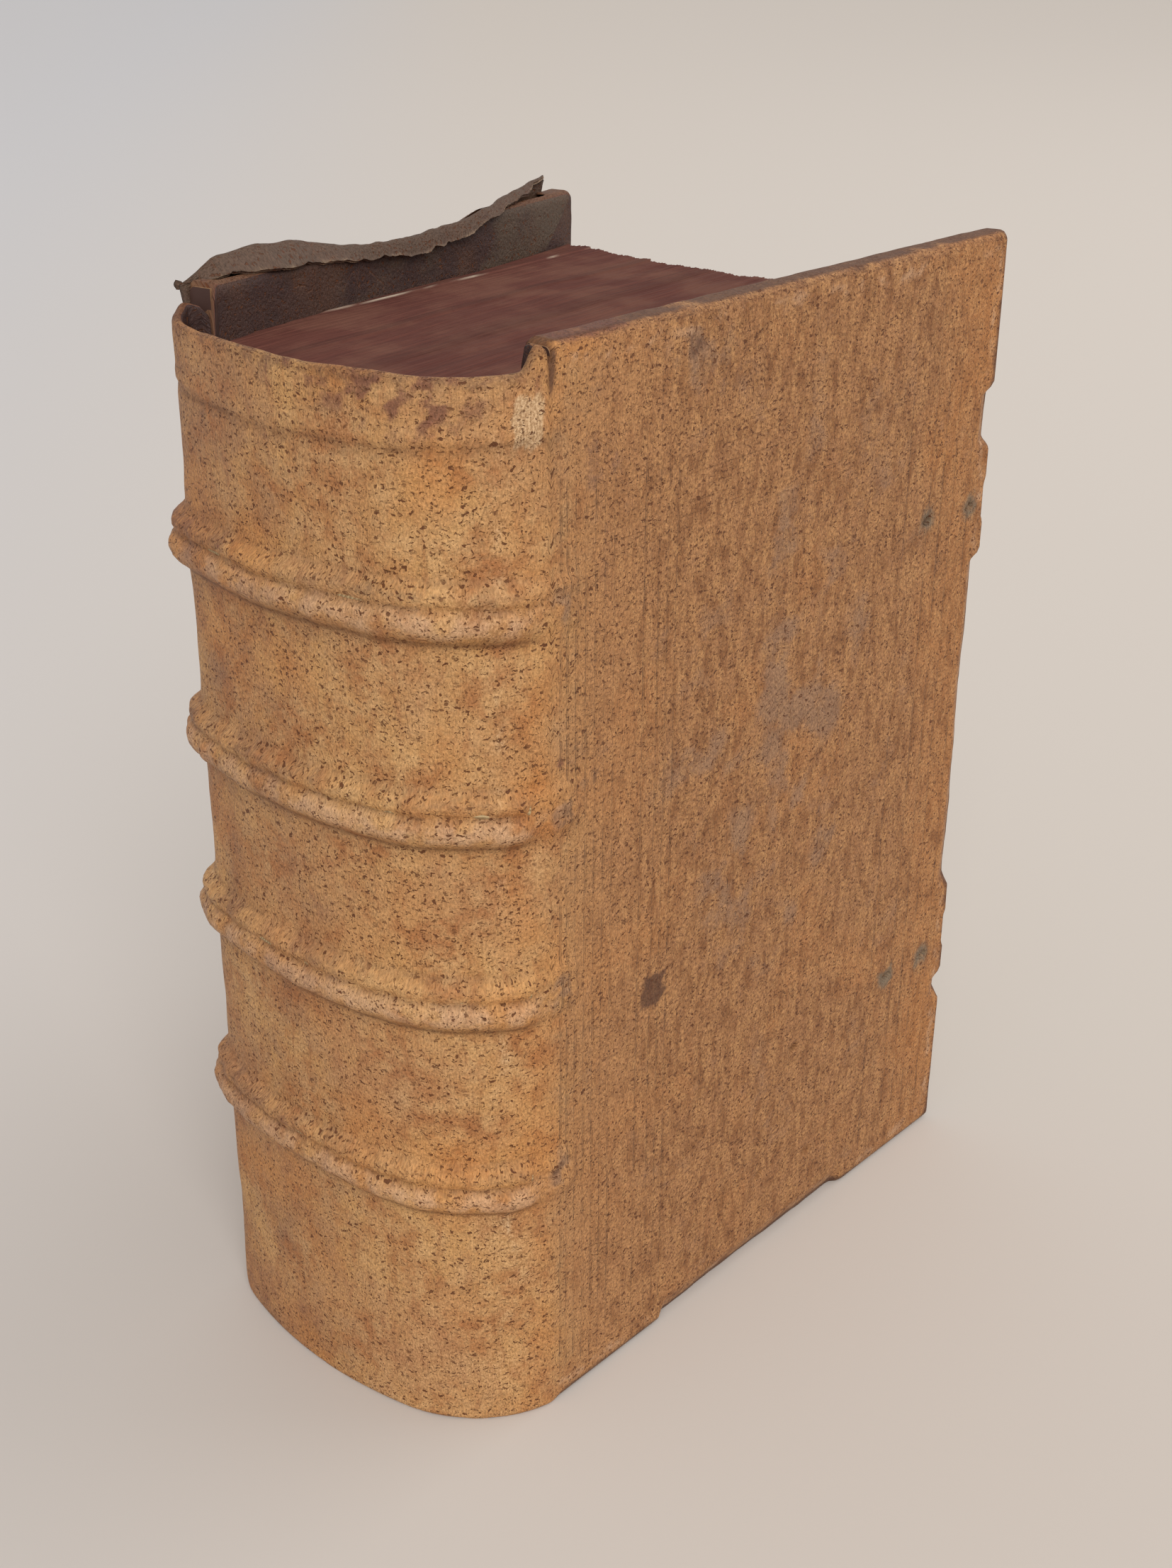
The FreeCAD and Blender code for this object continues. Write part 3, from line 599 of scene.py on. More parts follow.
def head_rise(side, u):
    """Height of the leather's top edge: the board's head, a split, then the spine's low cap."""
    low = BOARD_HEIGHT - RIM_DROP
    s = whole_sheet(side, u)
    wave = 0.5 * noise(s, s * 0, 15.0, 7) + 0.12 * noise(s, s * 0, 3.6, 8)
    curl, split, drop = (3.6, 0.7, 3.2) if side == "front" else (0.8, 0.9, 3.0)
    spine = low + wave + curl * smooth(-5.5, -2.2, u)
    rise = spine + (BOARD_HEIGHT - spine) * smooth(-0.8, 1.2, u)
    return rise - drop * bump(u, 0.0, split)


def edge_thickness(u):
    """Thickness at the head and tail: the turned-over leather, then the whole board."""
    return TURNED_EDGE + (THICK - TURNED_EDGE) * smooth(-2.6, 0.0, u)


def place(side, u, y, z):
    """A point of a half by its sheet distance, its depth and its height, in the row's frame."""
    flat = np.stack([u, y, z], -1)
    shaped = shape_board(side, np.where((u > 0)[..., None], flat, 0 * flat))
    board = to_row(side, shaped)
    _, out = HALF[side].at(np.maximum(-u, 0))
    plan = profile(side, u)
    join = smooth(-4, 0, u)[..., None]
    direction = unit(out * (1 - join) + cover_out(side) * join)
    edge = edge_thickness(u)
    radius = np.minimum(edge / 2, TURNED_EDGE / 2)
    top = head_rise(side, u)
    core_y = np.clip(y, radius, edge - radius)
    core_z = np.clip(z, radius, top - radius)
    gap = np.hypot(y - core_y, z - core_z)
    scale = np.where(gap > 1e-6, radius / np.maximum(gap, 1e-9), 1)
    round_y = core_y + (y - core_y) * scale
    round_z = core_z + (z - core_z) * scale
    spine = np.concatenate([plan - direction * round_y[..., None], round_z[..., None]], -1)
    share = smooth(-0.5, 2.5, u)[..., None]
    return spine * (1 - share) + board * share


def leather_half(side, name, materials):
    """The hide of one cover and its half of the spine, with its turn-ins and its relief."""
    half, width = HALF[side], WIDTH[side]
    columns = walk(-half.length, width, column_step(side))
    rows = walk(0.0, BOARD_HEIGHT, row_step)
    sheet = Sheet()
    u, row = np.meshgrid(columns, rows)
    top = head_rise(side, u)
    z = row - (BOARD_HEIGHT - top) * smooth(BOARD_HEIGHT - 30, BOARD_HEIGHT, row)
    flip = side == "back"

    def add(u, y, z, unfolded, kind=0, flip=flip):
        sheet.grid(place(side, u, y, z), np.stack(unfolded, -1), kind, flip)

    add(u, 0 * u, z, (u, z))
    across = np.linspace(0, 1, 12)
    share, row = np.meshgrid(across, rows)
    y = share * THICK
    add(np.full_like(y, width), y, row, (width + y, row))
    depth = np.concatenate([np.linspace(0, 3, 6), np.linspace(4, TURN_IN, 11)])
    down, row = np.meshgrid(depth, rows)
    z = down + row * (BOARD_HEIGHT - 2 * down) / BOARD_HEIGHT
    add(width - down, np.full_like(z, THICK), z, (width + THICK + down, z), 1)
    for end in ("head", "tail"):
        u, share = np.meshgrid(columns, across)
        y = share * edge_thickness(u)
        if side == "back" and end == "head":
            torn = smooth(1.5, 3.5, u) * (1 - smooth(FLAP_END - 1.5, FLAP_END + 0.5, u))
            y = y * (1 - torn) + torn * (5.0 + 1.5 * share)
        edge = head_rise(side, u) if end == "head" else 0 * u
        sign = -1 if end == "head" else 1
        turned = flip != (end == "tail")
        add(u, y, edge, (u, edge - sign * y), 0, turned)
        u, down = np.meshgrid(columns, depth)
        inside = smooth(-2.6, 0.0, u)
        reach = down * (inside + (1 - inside) * (0.3 if end == "head" else 0.04))
        edge = head_rise(side, u) if end == "head" else 0 * u
        x = np.where(u > 0, u * (width - down) / width, u)
        y = edge_thickness(u)
        add(x, y, edge + sign * reach, (x, edge - sign * (y + reach)), 1, turned)
    points, faces, unfolded, kinds, corner_sheet = welded(sheet)
    inner_points = np.zeros(len(points))
    inner_points[faces[kinds == 1].ravel()] = 1
    u, z = unfolded[:, 0], unfolded[:, 1]
    outer = (z >= -0.01) & (z <= BOARD_HEIGHT + 0.01) & (u <= width + 0.01)
    near_rim = smooth(0, 2.5, np.minimum(z, head_rise(side, u) - z))
    rise = np.where(outer, relief(side, u, z) * near_rim, 0.12 * noise(u, z, 4.0, 11))
    points = points + normals_of(points, faces) * rise[:, None]
    stains, marks = leather_masks(side, u, z, inner_points)
    corner_sheet[..., 0] = whole_sheet(side, corner_sheet[..., 0])
    return make_object(name, points, faces, corner_sheet, kinds, materials,
                       {"stains": stains, "marks": marks})


def torn_flap(materials):
    """The torn turn-in, a two-sided strip with a ragged edge."""
    shares = walk(0.0, 1.0, lambda share: 0.0055)
    across = np.linspace(0, 1, 26)
    known = np.array([row[0] for row in FLAP])
    control = [np.stack([np.interp(shares, known, [row[index][axis] for row in FLAP])
                         for axis in (0, 1)], -1) for index in (2, 3)]
    root_drop = np.interp(shares, known, [row[1] for row in FLAP])
    span = shares * (FLAP_END - FLAP_START)
    ripple = np.stack([0.5 * noise(span, span * 0, 6.0, 61), 0.55 * noise(span, span * 0, 5.0, 62)],
                      -1)
    fray = 0.45 * noise(span, span * 0, 1.7, 63, 3)
    turn_point, tip = control[0] + 0.4 * ripple, control[1] + ripple
    tip = tip + unit(tip - turn_point) * fray[:, None]
    root = np.stack([0 * shares - 0.05, -root_drop - 1.0], -1)
    t = across[None, :, None]
    curve = ((1 - t) ** 3 * root[:, None] + 3 * (1 - t) * t * turn_point[:, None]
             + t ** 3 * tip[:, None])
    lean = unit(np.gradient(curve, axis=1))
    out = np.stack([-lean[..., 1], lean[..., 0]], -1)
    x = FLAP_START + span
    x = x + 2.2 * smooth(0.97, 1.0, shares) - 1.0 * (1 - smooth(0, 0.03, shares))
    grid_x = np.repeat(x[:, None], len(across), 1)
    grid_span = np.repeat(span[:, None], len(across), 1)
    depth = np.repeat((across * 12)[None, :], len(shares), 0)
    rough = 0.12 * noise(grid_span, depth, 2.2, 64, 3) * smooth(0.05, 0.4, across)[None, :]
    thick = FLAP_LEATHER * (1 - 0.45 * smooth(0.8, 1.0, across))[None, :]
    sheet = Sheet()

    def layer(offset):
        section = curve + out * offset[..., None]
        flat = np.stack([grid_x, section[..., 0], BOARD_HEIGHT + section[..., 1]], -1)
        return to_row("back", flat)

    outer, inner = layer(rough), layer(rough - thick)
    unfolded = np.stack([grid_span, BOARD_HEIGHT + depth], -1)
    sheet.grid(outer, unfolded, 0, flip=False)
    sheet.grid(inner, unfolded, 1, flip=True)
    rim_points = np.stack([outer[:, -1], inner[:, -1]], 0)
    rim_sheet = np.stack([unfolded[:, -1], unfolded[:, -1] + [0, 1]], 0)
    sheet.grid(rim_points, rim_sheet, 1)
    for row, flip in ((0, True), (-1, False)):
        sheet.grid(np.stack([outer[row], inner[row]], 0),
                   np.stack([unfolded[row], unfolded[row] + [1, 0]], 0), 1, flip=flip)
    points, faces, flat, kinds, corner_sheet = welded(sheet)
    loose = noise(flat[:, 0], flat[:, 1], 7.0, 65, 3)
    edge = smooth(11.2, 12.0, flat[:, 1] - BOARD_HEIGHT)
    frayed = edge * smooth(-0.2, 0.5, noise(flat[:, 0], flat[:, 1], 4.0, 67, 3))
    # Painted highlight: a lighter strip along the top of the curled lip, added with the frayed edge
    # into the worn-patch channel.
    crest_highlight = bump(flat[:, 1] - BOARD_HEIGHT, 4.5, 1.6) * smooth(-0.3, 0.5, loose)
    first_group = np.stack([0.85 + 0.3 * loose, 0.15 + 0.5 * loose, 0 * loose, 0 * loose], -1)
    second_group = np.stack([0.6 * frayed + 0.4 * crest_highlight, 0 * loose, 1 + 0 * loose, 0 * loose],
                            -1)
    attributes = {"stains": np.clip(first_group, 0, 1), "marks": np.clip(second_group, 0, 1)}
    return make_object("torn_flap", points, faces, corner_sheet, kinds, materials, attributes)


# Materials

class Shader:
    """A short way to write one material's nodes."""

    def __init__(self, name):
        self.material = bpy.data.materials.new(name)
        self.material.use_nodes = True
        self.tree = self.material.node_tree
        self.surface = self.tree.nodes["Principled BSDF"].inputs

    def put(self, socket, value):
        if isinstance(value, bpy.types.NodeSocket):
            self.tree.links.new(value, socket)
        else:
            socket.default_value = value

    def node(self, kind, settings=None, **inputs):
        node = self.tree.nodes.new("ShaderNode" + kind)
        for word, value in (settings or {}).items():
            setattr(node, word, value)
        for word, value in inputs.items():
            self.put(node.inputs[word.replace("_", " ")], value)
        return node

    def math(self, operation, *values, kind="Math"):
        node = self.node(kind, {"operation": operation})
        for socket, value in zip(node.inputs, values):
            self.put(socket, value)
        return node.outputs[0]

    def times(self, *values):
        return reduce(lambda a, b: self.math("MULTIPLY", a, b), values)

    def plus(self, *values):
        return reduce(lambda a, b: self.math("ADD", a, b), values)

    def most(self, *values):
        return reduce(lambda a, b: self.math("MAXIMUM", a, b), values)

    def less(self, a, b):
        return self.math("SUBTRACT", a, b)

    def gap(self, a, b):
        """How far two values are apart."""
        return self.math("ABSOLUTE", self.less(a, b))

    def vector(self, operation, *values):
        return self.math(operation, *values, kind="VectorMath")

    def ramp(self, value, low, high, to_low=0.0, to_high=1.0):
        return self.node("MapRange", {"interpolation_type": "SMOOTHSTEP"}, Value=value,
                         From_Min=low, From_Max=high, To_Min=to_low,
                         To_Max=to_high).outputs["Result"]

    def fade(self, value, low, high, share=1.0):
        """A ramp that falls from share to 0."""
        return self.ramp(value, low, high, share, 0.0)

    def mix(self, share, a, b, blend="MIX"):
        node = self.node("Mix", {"data_type": "RGBA", "blend_type": blend})
        for index, value in ((0, share), (6, a), (7, b)):
            self.put(node.inputs[index], value)
        return node.outputs[2]

    def tint(self, colour, *layers):
        """Colours laid over one another, each given as its share, red, green and blue."""
        for share, *channels in layers:
            colour = self.mix(share, colour, linear(*channels))
        return colour

    def on_sheet(self, across=1.0, up=1.0):
        """Coordinates on the unfolded sheet in millimetres."""
        source = self.node("UVMap", {"uv_map": "sheet"}).outputs[0]
        return self.vector("MULTIPLY", source, (across / MM, up / MM, 1 / MM))

    def in_space(self, along=1.0):
        """The object's own coordinates in millimetres, drawn out upwards where along is small."""
        source = self.node("TexCoord").outputs["Object"]
        return self.vector("MULTIPLY", source, (1 / MM, 1 / MM, along / MM))

    def split(self, vector):
        return self.node("SeparateXYZ", None, Vector=vector).outputs

    def facing(self, axis):
        return self.split(self.node("TexCoord").outputs["Normal"])[axis]

    def masks(self, name):
        """The four values that a mesh carries at its points under one name."""
        source = self.node("Attribute", {"attribute_name": name}).outputs
        colours = self.node("SeparateColor", None, Color=source["Color"]).outputs
        return [*colours, source["Alpha"]]

    def noise(self, where, size, detail=4.0, rough=0.55, distort=0.0):
        return self.node("TexNoise", {"noise_dimensions": "3D"}, Vector=where, Scale=1.0 / size,
                         Detail=detail, Roughness=rough, Distortion=distort).outputs[0]

    def cells(self, where, size, feature="F1"):
        return self.node("TexVoronoi", {"feature": feature, "voronoi_dimensions": "2D"},
                         Vector=where, Scale=1.0 / size).outputs

    def bumps(self, height, distance_mm, strength=1.0, normal=None):
        node = self.node("Bump", None, Height=height, Strength=strength,
                         Distance=distance_mm * MM)
        if normal is not None:
            self.put(node.inputs["Normal"], normal)
        return node.outputs[0]

    def finish(self, colour, normal, roughness, specular=0.5):
        self.put(self.surface["Base Color"], colour)
        if normal is not None:
            self.put(self.surface["Normal"], normal)
        self.surface["Roughness"].default_value = roughness
        self.surface["Specular IOR Level"].default_value = specular
        return self.material


def linear(red, green, blue):
    """A colour written as screen values 0 to 255."""
    values = [channel / 255 for channel in (red, green, blue)]
    return tuple(v / 12.92 if v <= 0.04045 else ((v + 0.055) / 1.055) ** 2.4
                 for v in values) + (1.0,)


def comb(shader, coordinate, start, end, pitch, width):
    """Parallel lines of the given width, pitch apart, from start to end."""
    if end - start < pitch:
        return shader.fade(shader.gap(coordinate, (start + end) / 2), 0.3 * width, 0.75 * width)
    first, last = start - pitch / 2, end + pitch / 2
    phase = shader.math("FRACT", shader.math("DIVIDE", shader.less(coordinate, first), pitch))
    return shader.times(
        shader.fade(shader.gap(phase, 0.5), 0.3 * width / pitch, 0.75 * width / pitch),
        shader.ramp(coordinate, first - 0.05, first + 0.05),
        shader.fade(coordinate, last - 0.05, last + 0.05))


# Blind-tooled lines, in millimetres from the joint and from the tail: first, last, pitch, width
UPRIGHT_LINES = ((1.9, 3.6, 1.7, 0.5), (5.9, 5.9, 1.0, 0.6), (8.3, 15.6, 2.4, 0.5),
                 (22.3, 24.5, 2.2, 0.5), (27.2, 32.0, 2.4, 0.45), (104.0, 104.0, 1.0, 0.7),
                 (112.4, 121.0, 4.3, 0.6), (127.0, 127.0, 1.0, 0.5))
LEVEL_LINES = ((172.0, 176.4, 2.2, 0.45), (181.5, 188.1, 3.3, 0.45), (21.5, 28.0, 3.2, 0.45),
               (34.0, 38.4, 2.2, 0.45))
OVAL_CENTRE, OVAL_RADII = (68.0, 106.0), (19.0, 27.0)
# Rings of the oval: share of its radius, and how strongly each shows
OVAL_RINGS = ((1.0, 0.5), (0.9, 0.35), (0.55, 0.25))
PETALS, PETAL_RADIUS, PETAL_DEPTH = 8.0, 0.73, 0.1
ROLL_LENGTH, ROLL_MIDDLE, ROLL_SWING = 6.5, 12.0, 2.0
# Hair follicles, painted darker as painted shade in their pits: spacing, strength, and radius of
# the widest as a share of the spacing
PORES = ((1.3, 1.0, 0.2), (0.8, 0.85, 0.19))


def from_joint(shader, s):
    """Distance past the nearer joint, over the board, from the place on the whole hide."""
    return shader.most(s, shader.less(-SPINE_LENGTH, s))


def tooling(shader, where, broken):
    """Worn blind tooling: frames of lines, a soft roll between them, and a centre oval."""
    s, z, _ = shader.split(where)
    u = from_joint(shader, s)
    upright = shader.most(*(comb(shader, u, *row) for row in UPRIGHT_LINES))
    level = shader.most(*(comb(shader, z, *row) for row in LEVEL_LINES))
    lines = [shader.times(upright, shader.ramp(z, 183.0, 191.0, 1.0, 0.3)),
             shader.times(level, shader.ramp(u, 7, 8), shader.fade(u, 127, 128), 0.3)]
    along, above = (shader.math("DIVIDE", shader.less(value, centre), radius)
                    for value, centre, radius in zip((u, z), OVAL_CENTRE, OVAL_RADII))
    radius = shader.math("SQRT", shader.plus(shader.times(along, along),
                                             shader.times(above, above)))
    lines += [shader.fade(shader.gap(radius, ring), 0.008, 0.024, share)
              for ring, share in OVAL_RINGS]
    petals = shader.math("SINE", shader.times(shader.math("ARCTAN2", above, along), PETALS))
    petals = shader.plus(shader.times(petals, PETAL_DEPTH), PETAL_RADIUS)
    lines.append(shader.fade(shader.gap(radius, petals), 0.008, 0.03, 0.5))
    wave = shader.math("SINE", shader.times(z, 2 * math.pi / ROLL_LENGTH))
    swing = shader.plus(shader.times(wave, ROLL_SWING), ROLL_MIDDLE)
    lines.append(shader.fade(shader.gap(u, swing), 0.2, 0.7, 0.55))
    return shader.times(shader.most(*lines), shader.ramp(z, 5, 8), shader.fade(z, 203, 206),
                        broken)


def leather_material(name, tooled):
    shader = Shader(name)
    where, stretched = shader.on_sheet(), shader.on_sheet(1.0, 0.35)
    broad = shader.noise(where, 15.0, 3.0)
    middle = shader.noise(where, 4.2, 5.0, 0.62)
    fine = shader.noise(where, 0.75, 4.0, 0.65)
    fibre = shader.noise(shader.on_sheet(1.0, 0.5), 0.36, 2.0, 0.6)
    streaks = shader.noise(stretched, 2.6, 5.0, 0.6, 0.6)
    grey, dark, orange, green = shader.masks("stains")
    wear_and_highlight, groove_shade, red, pale = shader.masks("marks")
    mottle = shader.plus(shader.times(middle, 0.65), shader.times(fine, 0.35))

    def broken_up(mask, share=1.0, low=0.15, high=0.85):
        """A mask with ragged edges that follow the mottle."""
        rough = shader.plus(mask, shader.times(shader.less(mottle, 0.5), 1.5))
        rough = shader.times(rough, shader.ramp(mask, 0.0, 0.12))
        return shader.ramp(rough, low, high, 0.0, share)

    colour = shader.tint(
        linear(170, 114, 70), (shader.ramp(broad, 0.35, 0.62), 200, 152, 97),
        (shader.ramp(middle, 0.36, 0.7, 0.0, 0.8), 210, 166, 114),
        (shader.ramp(streaks, 0.48, 0.72, 0.0, 0.55), 156, 101, 60),
        (shader.ramp(shader.noise(where, 30.0, 2.0), 0.46, 0.62, 0.0, 0.3), 164, 112, 82))
    if tooled:
        past = from_joint(shader, shader.split(where)[0])
        duller = shader.tint(
            linear(138, 92, 56), (shader.ramp(streaks, 0.34, 0.64), 188, 138, 90),
            (shader.ramp(middle, 0.4, 0.64, 0.0, 0.65), 178, 128, 86),
            (shader.ramp(fine, 0.45, 0.66, 0.0, 0.65), 118, 74, 44),
            (shader.fade(past, 4.0, 44.0, 0.35), 194, 140, 92))
        colour = shader.mix(shader.ramp(past, -8.0, 16.0), colour, duller)
    flakes = shader.times(shader.ramp(fibre, 0.42, 0.58), pale, 0.35)
    colour = shader.tint(
        colour, (broken_up(orange, 0.5, -0.2, 1.0), 196, 126, 62),
        (broken_up(grey, 0.55), 148, 118, 96), (broken_up(pale, 0.7, 0.3, 0.9), 203, 166, 124),
        # The dark colour carries stains, and painted shade along the bands, under the crease and
        # down the joint's split.
        (flakes, 224, 198, 160), (broken_up(dark, 0.8), 84, 54, 42),
        (broken_up(green, 0.75), 108, 104, 90), (broken_up(wear_and_highlight, 0.7, 0.05, 0.9), 204, 162, 126))
    if tooled:
        # Purple-brown stains; over the spine's far side this is partly painted shade.
        colour = shader.tint(colour, (broken_up(red, 0.75, 0.0, 0.9), 112, 66, 56))
    else:
        hide = shader.tint(
            linear(82, 48, 42), (shader.ramp(mottle, 0.35, 0.65), 106, 64, 54),
            (broken_up(dark, 0.75), 62, 50, 47), (broken_up(grey, 0.7), 98, 82, 66),
            # Worn pale patches; on the torn flap this also paints a highlight along the top of its
            # curled lip.
            (broken_up(wear_and_highlight, 0.9), 150, 124, 100))
        colour = shader.mix(shader.times(red, 1.2), colour, hide)
    # Painted shade: grooves, holes, splits and cracks darkened.
    colour = shader.tint(colour, (shader.times(groove_shade, 0.8), 92, 55, 33))
    colour = shader.mix(1.0, colour, shader.ramp(fibre, 0.3, 0.7, 0.72, 1.2), "MULTIPLY")
    wobble = shader.node("TexNoise", {"noise_dimensions": "3D"}, Vector=where, Scale=1.1,
                         Detail=1.0).outputs["Color"]
    bent = shader.vector("MULTIPLY_ADD", shader.vector("SUBTRACT", wobble, (0.5, 0.5, 0.5)),
                         (1.8, 1.8, 0.0), shader.on_sheet(0.8, 1.15))
    holes = []
    for size, share, widest in PORES:
        cells = shader.cells(bent, size)
        random = shader.node("SeparateColor", None, Color=cells["Color"]).outputs[0]
        radius = shader.ramp(random, 0.0, 1.0, 0.02, widest)
        holes.append(shader.fade(shader.less(cells["Distance"], radius), -0.05, 0.04, share))
    pores = shader.times(shader.most(*holes),
                         shader.ramp(shader.noise(where, 6.0, 3.0), 0.3, 0.55, 0.45, 1.0))
    crackle = shader.cells(stretched, 2.1, "DISTANCE_TO_EDGE")["Distance"]
    cracks = shader.times(shader.fade(crackle, 0.0, 0.06),
                          shader.ramp(shader.noise(where, 9.0), 0.48, 0.62))
    # Pores and cracks are painted darker: painted shade in the follicle pits and the cracks.
    colour = shader.tint(colour, (shader.times(pores, 0.95), 98, 55, 28),
                         (shader.times(cracks, 0.3), 126, 80, 48))
    grain = shader.plus(shader.times(fine, 0.8), middle, shader.times(fibre, 0.5))
    normal = shader.bumps(grain, 0.5, 0.8)
    normal = shader.bumps(shader.less(1.0, pores), 0.35, 0.7, normal)
    normal = shader.bumps(shader.less(1.0, cracks), 0.15, 0.5, normal)
    if tooled:
        patches = shader.ramp(shader.noise(where, 10.0, 3.0), 0.4, 0.62, 0.3, 1.0)
        broken = shader.times(patches, shader.ramp(mottle, 0.36, 0.6, 0.15, 1.0))
        lines = tooling(shader, where, broken)
        colour = shader.tint(colour, (shader.times(lines, 0.42), 100, 64, 42))
        normal = shader.bumps(shader.less(1.0, lines), 0.45, 0.9, normal)
    return shader.finish(colour, normal, 0.55, 0.25)


def wood_material():
    """Boards of wood, darker on the faces turned to the spine as painted shade."""
    shader = Shader("old_board_wood")
    grain = shader.noise(shader.in_space(0.08), 1.6, 5.0, 0.6)
    blotch = shader.noise(shader.in_space(), 14.0, 3.0)
    colour = shader.tint(
        linear(128, 92, 62), (shader.ramp(grain, 0.35, 0.65), 164, 126, 88),
        (shader.ramp(blotch, 0.45, 0.7, 0.0, 0.5), 104, 74, 50),
        # Painted shade on the faces turned to the spine, chosen by the direction they face.
        (shader.fade(shader.facing(0), -0.9, -0.6), 70, 44, 36))
    return shader.finish(colour, shader.bumps(grain, 0.2, 0.5), 0.7)


def paper_material():
    shader = Shader("pastedown_paper")
    where = shader.in_space()
    colour = shader.tint(
        linear(214, 197, 160),
        (shader.ramp(shader.noise(where, 24.0, 4.0), 0.4, 0.68), 186, 160, 118),
        (shader.ramp(shader.noise(where, 3.2, 2.0), 0.66, 0.74, 0.0, 0.5), 140, 104, 66))
    return shader.finish(colour, shader.bumps(shader.noise(where, 1.2, 4.0), 0.1, 0.4), 0.8)


def cord_material():
    shader = Shader("hemp_cord")
    twist = shader.node("TexWave", {"wave_type": "BANDS", "bands_direction": "DIAGONAL"},
                        Vector=shader.in_space(), Scale=0.9, Distortion=1.5,
                        Detail=2.0).outputs["Fac"]
    colour = shader.tint(linear(150, 122, 84), (twist, 196, 170, 126))
    return shader.finish(colour, shader.bumps(twist, 0.3, 0.6), 0.8)


def leaves_material():
    """Trimmed leaves: cream at the fore-edge and tail, stained dark red at the head."""
    shader = Shader("leaf_edges")
    drawn_out = shader.on_sheet(1.0, 0.02)
    lines = shader.noise(drawn_out, 0.45, 4.0, 0.7)
    groups = shader.noise(drawn_out, 3.5, 3.0, 0.6)
    blotch = shader.noise(shader.in_space(), 13.0, 4.0)
    head, torn, shade, _ = shader.masks("marks")
    cream = shader.tint(
        linear(176, 150, 108), (shader.ramp(lines, 0.35, 0.65), 216, 196, 154),
        (shader.ramp(blotch, 0.45, 0.7, 0.0, 0.6), 158, 124, 84),
        (shader.ramp(groups, 0.55, 0.7, 0.0, 0.4), 120, 88, 58))
    stained = shader.tint(
        linear(88, 50, 43), (shader.ramp(lines, 0.36, 0.66), 104, 62, 52),
        (shader.ramp(groups, 0.5, 0.75, 0.0, 0.4), 80, 50, 44),
        (shader.ramp(blotch, 0.42, 0.68, 0.0, 0.65), 114, 76, 62))
    page = shader.tint(linear(212, 196, 160), (shader.ramp(blotch, 0.4, 0.7), 186, 162, 122))
    flat_side = shader.ramp(shader.math("ABSOLUTE", shader.facing(1)), 0.9, 0.96)
    colour = shader.mix(head, shader.mix(flat_side, cream, page), stained)
    colour = shader.tint(colour, (torn, 206, 188, 166), (shader.times(shade, 0.6), 60, 38, 32))
    height = shader.plus(lines, shader.times(groups, 1.5))
    return shader.finish(colour, shader.bumps(height, 0.35, 0.8), 0.75, 0.1)


# The block of leaves

def section_curve(points, count):
    """Evenly spaced points along a polyline."""
    gaps = np.hypot(*np.diff(points, axis=0).T)
    run = np.concatenate([[0], np.cumsum(gaps)])
    even = np.linspace(0, run[-1], count)
    return np.stack([np.interp(even, run, points[:, 0]), np.interp(even, run, points[:, 1])], -1)


LEAVES, LEAF_PITCH, DEEP = 340, 0.21, 46
# Where the leaves end at the front and the back, and how far the fore-edge is hollowed
FORE_FRONT, FORE_BACK, FORE_HOLLOW = 117.0, 117.5, 9.0


def text_plan():
    """Plan of the leaves: a grid from the spine (first column) to the fore-edge (last)."""
    spine = []
    for side, way in (("front", 1), ("back", -1)):
        half = HALF[side]
        along = np.linspace(0.8, half.length, 60)
        points, out = half.at(along)
        inner = points - out * (LEATHER + 0.05)
        spine.append(inner if way == 1 else inner[::-1])
    back_line = np.concatenate([spine[0], spine[1][1:]])
    gap = THICK + 0.3
    front_root = to_row("front", np.array([0.6, gap, 0]))[:2]
    back_root = to_row("back", np.array([0.6, gap, 0]))[:2]
    root = np.concatenate([[front_root], back_line, [back_root]])
    root = section_curve(root, LEAVES)
    front_fore = to_row("front", np.array([FORE_FRONT, gap, 0]))[:2]
    back_fore = to_row("back", np.array([FORE_BACK, gap, 0]))[:2]
    share = np.linspace(0, 1, LEAVES)[:, None]
    chord = front_fore * (1 - share) + back_fore * share
    inward = unit(root[LEAVES // 2] - (front_fore + back_fore) / 2)
    fore = chord + inward * FORE_HOLLOW * 4 * share * (1 - share)
    depth = np.linspace(0, 1, DEEP)[None, :, None]
    return root[:, None] * (1 - depth) + fore[:, None] * depth


